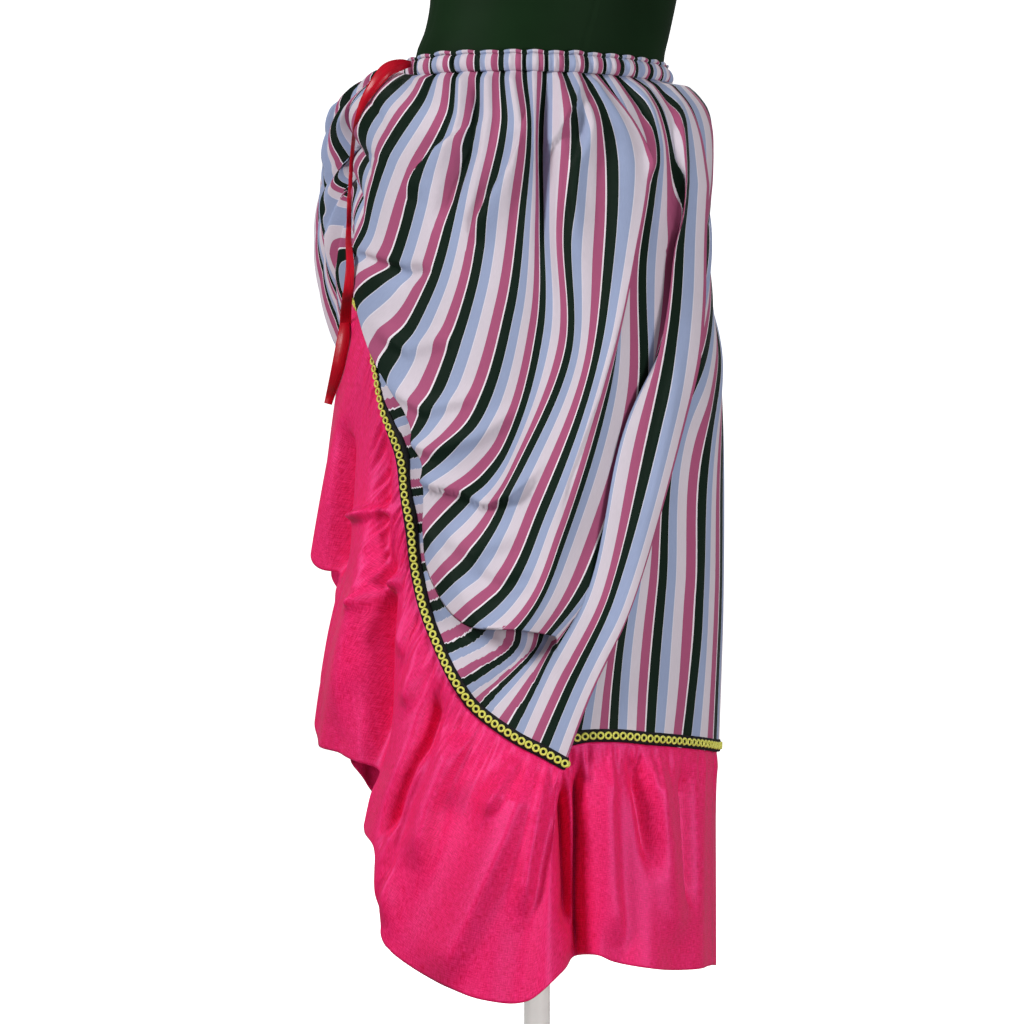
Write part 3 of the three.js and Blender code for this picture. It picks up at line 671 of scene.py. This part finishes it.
def casing_point(k, share):
    """Round the casing's section: up its outside (0 to 1), over the frill and down inside (1 to 1.6)."""
    angle = thread_angle(k, np.zeros_like(k))
    puff = np.abs(np.sin(np.pi * k)) ** 0.5 * gather_size(k)
    pleats = 1.1 * np.sin(2 * np.pi * (3 * k + 0.3 * np.sin(1.7 * k)))
    height = np.where(share <= 1, share, 1 - (share - 1) * 1.3) * (casing_height + frill_height) - 0.5
    bulge = np.sin(np.pi * np.clip(share / elastic_share, 0, 1)) ** 0.6
    frill = smooth_step(elastic_share, 0.96, share) * (1 - smooth_step(1.0, 1.12, share))
    outside = 0.3 + bulge * (5.6 * puff + pleats) + frill * (1.8 * puff + 0.6)
    inside = smooth_step(0.98, 1.15, share)
    lift = 3.0 * (puff - 0.4) * smooth_step(0.3, 1, share) * np.clip((1.3 - share) / 0.3, 0, 1)
    skin = ellipse_reach(*waist_section, angle) + waist_room
    neck = hull_reach(angle, waist_z + casing_height) - waist_room
    radius = (neck + outside) * (1 - inside) + skin * inside
    x = waist_x * inside + radius * np.cos(np.radians(angle))
    return np.stack([x, -radius * np.sin(np.radians(angle)), waist_z + height + lift], -1)


section = [np.linspace(0, elastic_share, 13), np.linspace(0.87, 1.12, 9), np.linspace(1.25, 1.6, 4)]
casing_k, casing_share = np.meshgrid(np.linspace(0, all_repeats, 641), np.concatenate(section))
casing_marks = np.stack([casing_k, casing_share * section_length / repeat], -1)
casing = cloth_grid("striped_casing", casing_point(casing_k, casing_share), casing_marks)
weld = casing.modifiers.new("join", "WELD")
weld.merge_threshold = 0.00002
thicken(casing, 0.8)
finished(casing, striped, "waist_casing")

# Ruffle of slubbed pink cloth, gathered under the braid in two panels. Its grain stays square to the hem,
# so on the hitched side it swings down to the left in cascades.
ruffle_depth = 235.0
ruffle_fullness = 1.5
back_hang = 214.0  # from the hem to the ruffle's free edge at the back
# thread, x and height of the front's free edge, how far it flares
ruffle_edge = np.array([
    (0, -211, 569, 27),
    (1, -217, 515, 34),
    (2, -210, 501, 30),
    (3, -207, 460, 28),
    (4, -214, 390, 34),
    (5, -216, 338, 38),
    (6, -196, 323, 32),
    (7, -168, 303, 26),
    (8, -169, 262, 26),
    (8.7, -168, 246, 26),
    (9.3, -153, 230, 26),
    (10.2, -151, 175, 29),
    (11, -148, 138, 30),
    (11.6, -132, 116, 29),
    (12.2, -100, 96, 28),
    (13, -53, 78, 26),
    (13.75, -9, 77, 24),
    (14.3, 25, 106, 10),
    (15, 47, 123, -2),
    (16, 78, 116, 8),
    (17, 113, 109, 8),
    (18, 153, 108, 5),
    (19, 177.5, 113, 2),
], dtype=float)
# folds of the ruffle: thread and height of each ridge or trough at the free edge
ruffle_folds = np.array([
    (0, 3), (0.9, 8), (1.9, -8), (2.9, -4), (4.1, 2), (5.2, 4), (6.3, -4), (7.3, -9), (8.4, 4), (9.2, 9),
    (10.2, -2), (11.2, 8), (12.1, -7), (13.0, 7), (13.6, -5), (14.1, 12), (14.75, -20), (15.35, 8),
    (16.2, -5), (17.0, 6), (17.8, -6), (18.5, 2), (19, -3), (20.2, -4), (21.4, -8), (22.9, 10), (24.1, -10),
    (25.5, 11), (26.8, -10), (28.2, 11), (29.4, -10), (30.7, 12), (32.0, -12), (33.2, 9), (34.4, 13),
    (35.7, -12), (36.9, -4), (38.1, 10), (39.2, 0), (40, 3),
], dtype=float)
# creases of the front ruffle, given as the skirt's are
ruffle_creases = [
    (-30, 5, 6, [(24, 300), (28, 240), (30, 190), (29, 150)]),
    (-21, 4, 5, [(41, 320), (43, 250), (43, 180), (43, 120)]),
    (22, 13, 34, [(-5, 316), (-31, 238), (-67, 154), (-96, 90)]),
    (18, 9, 20, [(-66, 345), (-84, 318), (-103, 270), (-116, 205)]),
    (-24, 12, 7, [(-100, 400), (-118, 329), (-136, 280), (-146, 240)]),
    (17, 8, 18, [(-108, 330), (-129, 280), (-143, 210), (-148, 150)]),
    (-30, 13, 8, [(-150, 660), (-156, 560), (-163, 430), (-167, 305)]),
    (16, 5, 5, [(-186, 560), (-160, 568), (-141, 566)]),
    (16, 7, 6, [(-176, 470), (-155, 490), (-130, 502)]),
    (-24, 9, 5, [(-195, 650), (-199, 580), (-204, 500)]),
    (16, 7, 18, [(-132, 640), (-146, 560), (-180, 440), (-196, 350)]),
    (12, 14, 9, [(112, 325), (120, 280), (131, 190), (136, 130)]),
    (-16, 8, 8, [(94, 325), (106, 282), (118, 209)]),
    (12, 8, 12, [(72, 325), (70, 270), (74, 190), (80, 130)]),
    (-14, 7, 7, [(150, 320), (154, 250), (156, 170)]),
    (16, 6, 12, [(-20, 322), (-30, 300), (-48, 260)]),
    (16, 7, 12, [(10, 305), (4, 270), (-6, 220), (-14, 160)]),
    (13, 5, 9, [(-118, 520), (-124, 470), (-134, 420)]),
    (13, 5, 9, [(-110, 450), (-118, 410), (-130, 370)]),
]


def ruffle_point(count, s):
    """Where a thread of the ruffle is at a share of its depth, from the braid (0) to its free edge (1)."""
    k = np.mod(count, all_repeats)
    one = np.ones_like(s)
    hem_z = hem_height(k)
    start = thread_angle(k, one)
    edge = through(ruffle_edge[:, 0], ruffle_edge[:, 1:], np.minimum(k, front_repeats))
    front_edge = front_angle(edge[..., 0], edge[..., 1], edge[..., 2])
    back_middle = np.clip((k - 21) / 4, 0, 1) * np.clip((33 - k) / 4, 0, 1)
    back_out = 2 + 9 * back_middle + 22 * bell((k - all_repeats) / 2.2)
    back_edge = start - 7 * bell((k - 35) / 3.5)
    back_z = hem_z - back_hang - 10 * np.maximum(k - 38.5, 0) / 1.5
    out = either(k, edge[..., 2], back_out)
    edge_z = either(k, edge[..., 1], back_z)
    angle = start + (either(k, front_edge, back_edge) - start) * s * (1.4 - 0.4 * s)
    z = hem_z + (edge_z - hem_z) * s
    fold = through(ruffle_folds[:, 0], ruffle_folds[:, 1], k) * np.maximum(s, 0) ** 0.8
    ripple = 1.6 * np.sin(2 * np.pi * (0.9 * k + 0.35 * np.sin(1.3 * k) + 0.25 * s)) * s
    pucker = np.sin(2 * np.pi * k * 2.6 + 1.4 * np.sin(k * 2.3))
    pucker = pucker + 0.6 * np.sin(2 * np.pi * k * 4.3 + 2 * np.sin(k * 1.1))
    gather = 2.4 * pucker * np.exp(-s * 8) * np.minimum(s * 14, 1)
    under = (stand_off(k, one) - wall - 0.4) * (1 - s)
    radius = hull_reach(angle, z) + under + out * s ** 0.8 + fold + ripple + gather
    shown = off_seams(k) * np.minimum(s * 5, 1)
    return carried(angle, radius + shown * creased(ruffle_creases, radius * np.cos(np.radians(angle)), z), z)


pink, pink_tree, pink_shader = new_material("pink_slub", 0.5, 0.7)
pink_cut = wire(pink_tree, "UVMap", {}, uv_map="cut")
weft_slub = streaks(pink_tree, pink_cut.outputs["UV"], 6, 60, 3)
warp_slub = streaks(pink_tree, pink_cut.outputs["UV"], 60, 6, 3)
slub = worked(pink_tree, "MULTIPLY", worked(pink_tree, "ADD", weft_slub, warp_slub), 0.5)
pink_wash = spread_to(pink_tree, cloud(pink_tree, 7), 0.92, 1.04)
pink_share = spread_to(pink_tree, slub, 0, 1)
two_tone(pink_tree, pink_shader, pink_share, (214, 4, 64), (255, 46, 120), 0.2, 0.8, pink_wash)
bumped(pink_tree, pink_shader, [(cloud(pink_tree, 24, 3), 0.003, 0.1), (slub, 0.0007, 0.5)])
pink_shader.inputs["Subsurface Weight"].default_value = 0.12  # light that comes through the thin cloth
pink_shader.inputs["Subsurface Radius"].default_value = (1.0, 0.08, 0.25)
pink_shader.inputs["Subsurface Scale"].default_value = 0.012
pink_shader.inputs["Sheen Weight"].default_value = 0.03
pink_shader.inputs["Specular Tint"].default_value = (1.0, 0.3, 0.85, 1.0)  # the shine of shot cloth
pink_tree.links.new(spread_to(pink_tree, slub, 0.42, 0.56), pink_shader.inputs["Roughness"])


def ruffle_panel(name, columns, node):
    k, s = np.meshgrid(columns, np.concatenate([np.linspace(0, 0.3, 34), np.linspace(0.32, 1, 56)]))
    marks = np.stack([k * ruffle_fullness, s * ruffle_depth / repeat], -1)
    points = ruffle_point(k, s)
    for seam in (front_repeats, all_repeats):  # the back panel's ends are drawn over to the front's
        back_side = 0.01 if seam == front_repeats else -0.01
        front_end = ruffle_point(np.full_like(k, seam - back_side), s)
        back_end = ruffle_point(np.full_like(k, seam + back_side), s)
        near_seam = (k > front_repeats) * (1 - smooth_step(0.0, 1.4, np.abs(k - seam)))
        points = points + (front_end - back_end) * near_seam[..., None]
    panel = cloth_grid(name, points, marks)
    thicken(panel, 0.7)
    finished(panel, pink, node)
    return panel, points


front_columns = np.linspace(seam_gap, front_repeats - seam_gap, 520)
back_columns = np.linspace(front_repeats + seam_gap, all_repeats - seam_gap, 500)
ruffle_front, ruffle_front_points = ruffle_panel("pink_ruffle_front", front_columns, "ruffle_front")
ruffle_back, ruffle_back_points = ruffle_panel("pink_ruffle_back", back_columns, "ruffle_back")

# Ring braid: a flat black braid sewn over the seam of hem and ruffle, with a row of yellow rings worked on
# it in thick thread, one close to the next. It is sewn on in two lengths that meet at the side seams.
band_width = 12.5
band_runs = 0.22  # what the braid takes across on its UV map, in runs of stripes
ring_pitch = 7.8
ring_radius = 2.9
ring_thread = 1.1  # half the thickness of the rings


def facing(point, k, drop):
    """Direction out of a cloth at its threads and drops."""
    small = 0.006
    fall = point(k, np.minimum(drop + small, 1)) - point(k, np.minimum(drop + small, 1) - 2 * small)
    turn = point(k + 4 * small, drop) - point(k - 4 * small, drop)
    out = np.cross(fall, turn)
    return out / np.linalg.norm(out, axis=-1, keepdims=True)


def band_share(k):
    """Share of a thread's drop that the braid's width covers, squared off against the hem."""
    one = np.ones_like(k)
    fall = (cloth_point(k, one) - cloth_point(k, one - 0.03)) / 0.03
    turn = cloth_point(k + 0.1, one) - cloth_point(k - 0.1, one)
    turn /= np.linalg.norm(turn, axis=-1, keepdims=True)
    return np.minimum(band_width / np.linalg.norm(np.cross(fall, turn), axis=-1), 0.06)


black, black_tree, black_shader = new_material("black_braid", 0.6, 0.12)
black_cut = wire(black_tree, "UVMap", {}, uv_map="cut")
black_yarn = streaks(black_tree, black_cut.outputs["UV"], 60, 60)
two_tone(black_tree, black_shader, spread_to(black_tree, black_yarn, 0, 1), (13, 13, 14), (38, 37, 38))
bumped(black_tree, black_shader, [(black_yarn, 0.0006, 0.6)])
yellow, yellow_tree, yellow_shader = new_material("yellow_ring_thread", 0.45, 0.25)
yellow_yarn = cloud(yellow_tree, 900, 2)
yellow_share = spread_to(yellow_tree, yellow_yarn, 0, 1)
two_tone(yellow_tree, yellow_shader, yellow_share, (196, 192, 60), (238, 236, 126))
bumped(yellow_tree, yellow_shader, [(yellow_yarn, 0.0005, 0.5)])
ring_inputs = {"Places": "Geometry", "Ring radius": "Float", "Thread radius": "Float", "Thread": "Material"}
ring_tree = bpy.data.node_groups.new("ring_row", "GeometryNodeTree")
for input_name, kind in ring_inputs.items():
    ring_tree.interface.new_socket(input_name, in_out="INPUT", socket_type="NodeSocket" + kind)
ring_tree.interface.new_socket("Rings", in_out="OUTPUT", socket_type="NodeSocketGeometry")
given = ring_tree.nodes.new("NodeGroupInput").outputs
circle = "GeometryNodeCurvePrimitiveCircle"
loop = wire(ring_tree, circle, {"Resolution": 14, "Radius": given["Ring radius"]}).outputs[0]
cord = wire(ring_tree, circle, {"Resolution": 6, "Radius": given["Thread radius"]}).outputs[0]
worked_ring = wire(ring_tree, "GeometryNodeCurveToMesh", {"Curve": loop, "Profile Curve": cord})
lie = wire(ring_tree, "GeometryNodeInputNamedAttribute", {"Name": "lie"}, data_type="FLOAT_VECTOR")
lie_turn = wire(ring_tree, "FunctionNodeEulerToRotation", {0: lie.outputs[0]})
copies = wire(ring_tree, "GeometryNodeInstanceOnPoints", {
    "Points": given["Places"], "Instance": worked_ring.outputs[0], "Rotation": lie_turn.outputs[0]})
real_rings = wire(ring_tree, "GeometryNodeRealizeInstances", {0: copies.outputs[0]})
smooth_rings = wire(ring_tree, "GeometryNodeSetShadeSmooth", {0: real_rings.outputs[0]})
dyed_rings = wire(ring_tree, "GeometryNodeSetMaterial", {
    "Geometry": smooth_rings.outputs[0], "Material": given["Thread"]})
wire(ring_tree, "NodeGroupOutput", {0: dyed_rings.outputs[0]})


def ring_row(name, centres, lies):
    """A ring at each centre (mm), laid by a rotation matrix each, kept as a plain mesh."""
    mesh = bpy.data.meshes.new(name)
    mesh.from_pydata([tuple(c / 1000) for c in centres], [], [])
    lie_attribute = mesh.attributes.new("lie", "FLOAT_VECTOR", "POINT")
    lie_attribute.data.foreach_set("vector", np.ravel([tuple(m.to_euler()) for m in lies]))
    places = bpy.data.objects.new(name + "_places", mesh)
    bpy.context.scene.collection.objects.link(places)
    copied = places.modifiers.new("copies", "NODES")
    copied.node_group = ring_tree
    sizes = {"Ring radius": ring_radius / 1000, "Thread radius": ring_thread / 1000, "Thread": yellow}
    for item in ring_tree.interface.items_tree:
        if item.in_out == "INPUT" and item.name in sizes:
            copied[item.identifier] = sizes[item.name]
    evaluated = places.evaluated_get(bpy.context.evaluated_depsgraph_get())
    made = bpy.data.objects.new(name, bpy.data.meshes.new_from_object(evaluated))
    bpy.data.objects.remove(places)
    made.data.name = name
    bpy.context.scene.collection.objects.link(made)
    return made


def lies_along(points, normals):
    """Turns that lay a ring's axis along each normal, with its start towards the next point."""
    ahead = np.gradient(points, axis=0)
    frames = []
    for tangent, normal in zip(ahead, normals):
        n = Vector(normal).normalized()
        x = Vector(tangent)
        x = (x - n * x.dot(n)).normalized()
        frames.append(Matrix((x, n.cross(x), n)).transposed())
    return frames


def even_steps(points, pitch):
    """Indices along a finely drawn row of points, an even pitch apart."""
    run = np.concatenate([[0], np.cumsum(np.linalg.norm(np.diff(points, axis=0), axis=1))])
    count = int(run[-1] / pitch)
    return np.searchsorted(run, (np.arange(count) + 0.5) * run[-1] / count)


# from the braid's top edge to the hem: share of its width left below, how far it stands off the cloth
band_section = np.array([(1, 0.2), (0.97, 1.1), (0.75, 1.5), (0.5, 1.6), (0.25, 1.5), (0.03, 1.1), (0, 0.2)])
ring_stand_off = 2.3


def braid(side, first, last, node):
    """The braid between two threads, with its rings an even pitch apart."""
    share, stand = band_section.T[:, :, None]
    k = np.broadcast_to(np.linspace(first, last, 420), (len(share), 420))
    drop = 1 - share * band_share(k[0])
    points = cloth_point(k, drop) + stand[..., None] * facing(cloth_point, k, drop)
    marks = np.stack([k, np.broadcast_to((1 - share) * band_runs, k.shape)], -1)
    band = cloth_grid("black_braid_" + side, points, marks)
    thicken(band, 0.9)
    finished(band, black, node)
    fine = np.linspace(first, last, 9000)
    middle = 1 - 0.5 * band_share(fine)
    out = facing(cloth_point, fine, middle)
    centres = cloth_point(fine, middle) + ring_stand_off * out
    chosen = even_steps(centres, ring_pitch)
    rings = ring_row("yellow_rings_" + side, centres[chosen], lies_along(centres[chosen], out[chosen]))
    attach(rings, "root")
    return band, rings


band_front, rings_front = braid("front", 0.02, 18.98, "trim_front")
band_back, rings_back = braid("back", 19.02, 39.98, "trim_back")

# Red satin ribbon tied round the hitch: a strap that comes from the casing over the left hip, where it is
# pulled narrow, and its tail that hangs on the ruffle.
satin, satin_tree, satin_shader = new_material("red_satin", 0.3, 0.2)
satin_cut = wire(satin_tree, "UVMap", {}, uv_map="cut")
satin_yarn = streaks(satin_tree, satin_cut.outputs["UV"], 60, 3)
two_tone(satin_tree, satin_shader, spread_to(satin_tree, satin_yarn, 0, 1), (160, 8, 28), (194, 10, 38))
bumped(satin_tree, satin_shader, [(cloud(satin_tree, 60, 3), 0.003, 0.2), (satin_yarn, 0.0003, 0.3)])
satin_shader.inputs["Sheen Weight"].default_value = 0.03


def cloth_tree(grids):
    """The cloths given as grids of points, as one surface that can be felt for."""
    points, faces = [], []
    for grid in grids:
        faces += grid_faces(grid, len(points))
        points += grid.reshape(-1, 3).tolist()
    return BVHTree.FromPolygons(points, faces)


def ribbon(name, cloth, route, node):
    """A ribbon laid on a cloth from the front. Its route has rows of x, laid-out height, width and lift."""
    t = np.linspace(0, len(route) - 1, 110)
    x, z, width, lift = through(np.arange(len(route)), np.array(route, dtype=float), t).T
    ahead = np.gradient(np.stack([x, z], -1), axis=0)
    ahead /= np.linalg.norm(ahead, axis=1, keepdims=True)
    across = np.linspace(-0.5, 0.5, 9)
    x = x[:, None] - ahead[:, 1:] * width[:, None] * across
    z = z[:, None] + ahead[:, :1] * width[:, None] * across
    start = Vector((eye["x"], -eye["distance"], eye["z"]))
    depth = np.full(x.shape, np.nan)
    for spot in np.ndindex(x.shape):
        sight = Vector((x[spot], 0, z[spot])) - start
        found = cloth.ray_cast(start, sight.normalized())[0]
        depth[spot] = np.nan if found is None or found.y > 0 else found.y
    rows = np.nonzero(np.isfinite(depth).any(1))[0]
    near = np.interp(np.arange(len(t)), rows, np.nanmin(depth[rows], 1))
    # it lies over the proudest cloth under it and is pulled smooth
    near = np.array([near[max(i - 4, 0):i + 5].min() for i in range(len(near))])
    for _ in range(14):
        near[1:-1] = (near[:-2] + 2 * near[1:-1] + near[2:]) / 4
    depth = np.repeat(near[:, None], len(across), 1)
    crown = 0.1 * np.cos(np.pi * across) + 0.05 * np.sin(5 * across + 0.3 * t[:, None])
    depth = depth - lift[:, None] - width[:, None] * crown
    near = (eye["distance"] + depth) / eye["distance"]
    points = np.stack([eye["x"] + (x - eye["x"]) * near, depth, eye["z"] + (z - eye["z"]) * near], -1)
    length = np.linalg.norm(np.diff(points[:, len(across) // 2], axis=0), axis=1).sum()
    marks = np.stack(np.broadcast_arrays(across * 0.25, t[:, None] * length / repeat / t[-1]), -1)
    made = cloth_grid(name, points, marks)
    thicken(made, 0.5)
    finished(made, satin, node)
    return made


strap_route = [
    (-126, 1014, 6, -4), (-137, 1013, 12, 2), (-150, 1008, 14, 3), (-162, 994, 12, 3), (-173, 977, 8, 2),
    (-179, 962, 5, 1), (-182, 950, 4, -10), (-184, 933, 4, -34), (-186, 908, 4, -34), (-187, 888, 4, -14),
    (-188, 878, 4, 1), (-188, 858, 5, 2), (-188.5, 838, 6, 2), (-187, 816, 8, 2), (-188, 793, 10, 2),
    (-191, 768, 11, 2), (-192, 740, 12, 2),
]
tail_route = [
    (-191, 768, 4, 1), (-193, 744, 12, 3), (-198, 716, 13, 3), (-203, 696, 11, 2), (-209, 674, 8, 2),
]
under_tail = cloth_tree([ruffle_front_points, ruffle_back_points, front_points])
strap = ribbon("red_strap", cloth_tree([front_points, back_points]), strap_route, "ribbon_strap")
tail = ribbon("red_tail", under_tail, tail_route, "ribbon_tail")

# Dress form: a smooth hard shell without limbs, covered in dark green jersey with flat seams at the sides and
# down the middle, and closed at the neck by a turned wooden cap.
# height, centre x, half width, half depth and turn of its sections
form_sections = np.array([
    (792, 0, 60, 44, 12),
    (800, 0, 100, 74, 12),
    (826, 0, 136, 102, 14),
    (870, 0, 150, 114, 16),
    (925, 0, 146, 110, 20),
    (975, 1, 131, 101, 25),
    (1021, 4, 129, 98, 25),
    (1045, 11, 127, 97, 25),
    (1078, 17, 128, 98, 25),
    (1140, 21, 136, 102, 25),
    (1220, 21, 154, 120, 25),
    (1290, 20, 160, 108, 25),
    (1350, 19, 164, 88, 25),
    (1390, 18, 140, 74, 25),
    (1415, 18, 88, 64, 25),
    (1445, 18, 58, 56, 25),
], dtype=float)


def closed_skin(name, rings):
    """A closed skin over rings of points (mm) from the bottom up, with a flat fan at each end."""
    rows, cols = rings.shape[:2]
    index = np.arange(rows * cols).reshape(rows, cols)
    ahead = np.roll(index, -1, axis=1)
    faces = np.stack([index[:-1], ahead[:-1], ahead[1:], index[1:]], -1).reshape(-1, 4).tolist()
    ends = np.stack([rings[0].mean(0), rings[-1].mean(0)])
    low, high = rows * cols, rows * cols + 1
    faces += [(low, ahead[0, j], index[0, j]) for j in range(cols)]
    faces += [(high, index[-1, j], ahead[-1, j]) for j in range(cols)]
    return link_mesh(name, np.vstack([rings.reshape(-1, 3), ends]) / 1000, faces)


cover, cover_tree, cover_shader = new_material("green_jersey", 0.6, 0.05)
cover_cloud = spread_to(cover_tree, cloud(cover_tree, 9), 0, 1)
two_tone(cover_tree, cover_shader, cover_cloud, (14, 33, 15), (20, 44, 21))
knit = cloud(cover_tree, 1400, 1)
bumped(cover_tree, cover_shader, [(cloud(cover_tree, 16, 3), 0.003, 0.12), (knit, 0.0003, 0.3)])
cover_shader.inputs["Sheen Weight"].default_value = 0.01
form_z = np.concatenate([np.linspace(792, 800, 4), np.linspace(804, 1440, 90), [1443, 1445]])
form_rows = through(form_sections[:, 0], form_sections[:, 1:], form_z)
form_turn = np.linspace(0, 360, 240, endpoint=False)
centre, half_width, half_depth, turn = form_rows.T[:, :, None]
reach = ellipse_reach(half_width, half_depth, turn, form_turn[None])
for seam in (-25, 65, 155, 245):  # side seams and the centre seams, sewn flat
    away = (form_turn - seam + 180) % 360 - 180
    reach = reach - 0.7 * bell(away / 0.9)
form_x = centre + reach * np.cos(np.radians(form_turn))
form_y = -reach * np.sin(np.radians(form_turn))
form_rings = np.stack(np.broadcast_arrays(form_x, form_y, form_z[:, None]), -1)
form = closed_skin("jersey_form", form_rings[:, ::-1])
finished(form, cover, "form_torso")


def turned_piece(name, outline, centre_x, segments):
    """A piece turned round an upright axis. Its outline is rows of radius and height, from the bottom up."""
    radius, height = np.array(outline, dtype=float).T[:, :, None]
    lean = np.linspace(0, 2 * np.pi, segments, endpoint=False)
    ring = np.broadcast_arrays(centre_x + radius * np.cos(lean), radius * np.sin(lean), height)
    return closed_skin(name, np.stack(ring, -1))


wood, wood_tree, wood_shader = new_material("turned_beech", 0.4, 0.4)
wood_place = wire(wood_tree, "TexCoord", {}).outputs["Object"]
rings_of_wood = {"Vector": wood_place, "Scale": 22.0, "Distortion": 5.0, "Detail": 3.0, "Detail Scale": 2.0}
grain = wire(wood_tree, "TexWave", rings_of_wood).outputs["Fac"]
two_tone(wood_tree, wood_shader, grain, (150, 104, 62), (186, 140, 92))
bumped(wood_tree, wood_shader, [(grain, 0.0006, 0.3)])
neck_x = 18
cap_outline = [
    (46, 1445.3), (50, 1445.6), (52, 1449), (51.5, 1453), (48, 1457), (43, 1461.5), (34, 1465), (20, 1468.6),
    (8, 1470.8), (1.5, 1471.3),
]
cap = turned_piece("neck_cap", cap_outline, neck_x, 96)
finished(cap, wood, "form_neck_cap")

# Stand: a steel tube that carries the form, set upright in the middle of a round cast base. Both are
# enamelled white, and the base's edges are rounded over.
enamel, enamel_tree, enamel_shader = new_material("white_enamel", 0.3, 0.5)
enamel_cloud = spread_to(enamel_tree, cloud(enamel_tree, 30), 0, 1)
two_tone(enamel_tree, enamel_shader, enamel_cloud, (226, 226, 222), (236, 236, 233))
enamel_dull = spread_to(enamel_tree, cloud(enamel_tree, 60), 0.25, 0.4)
enamel_tree.links.new(enamel_dull, enamel_shader.inputs["Roughness"])
bumped(enamel_tree, enamel_shader, [(cloud(enamel_tree, 260, 2), 0.0004, 0.2)])
enamel_shader.inputs["Coat Weight"].default_value = 0.2
base_outline = [(166, 0), (169, 1.2), (170, 4), (170, 9), (169, 12), (165, 13.6), (60, 13.9), (20, 14)]
base = turned_piece("round_base", base_outline, 0, 160)
finished(base, enamel, "stand_base")
pole_radius, pole_foot, pole_top, pole_edge = 13, 14.3, 791.6, 0.6
corner = np.linspace(0, np.pi / 2, 5)
rise, run = pole_edge * (1 - np.cos(corner)), pole_edge * (1 - np.sin(corner))
foot_edge = np.column_stack([pole_radius - run, pole_foot + rise])
top_edge = np.column_stack([pole_radius - rise, pole_top - run])
pole = turned_piece("steel_pole", np.vstack([foot_edge, top_edge]), 0, 64)
finished(pole, enamel, "stand_pole")
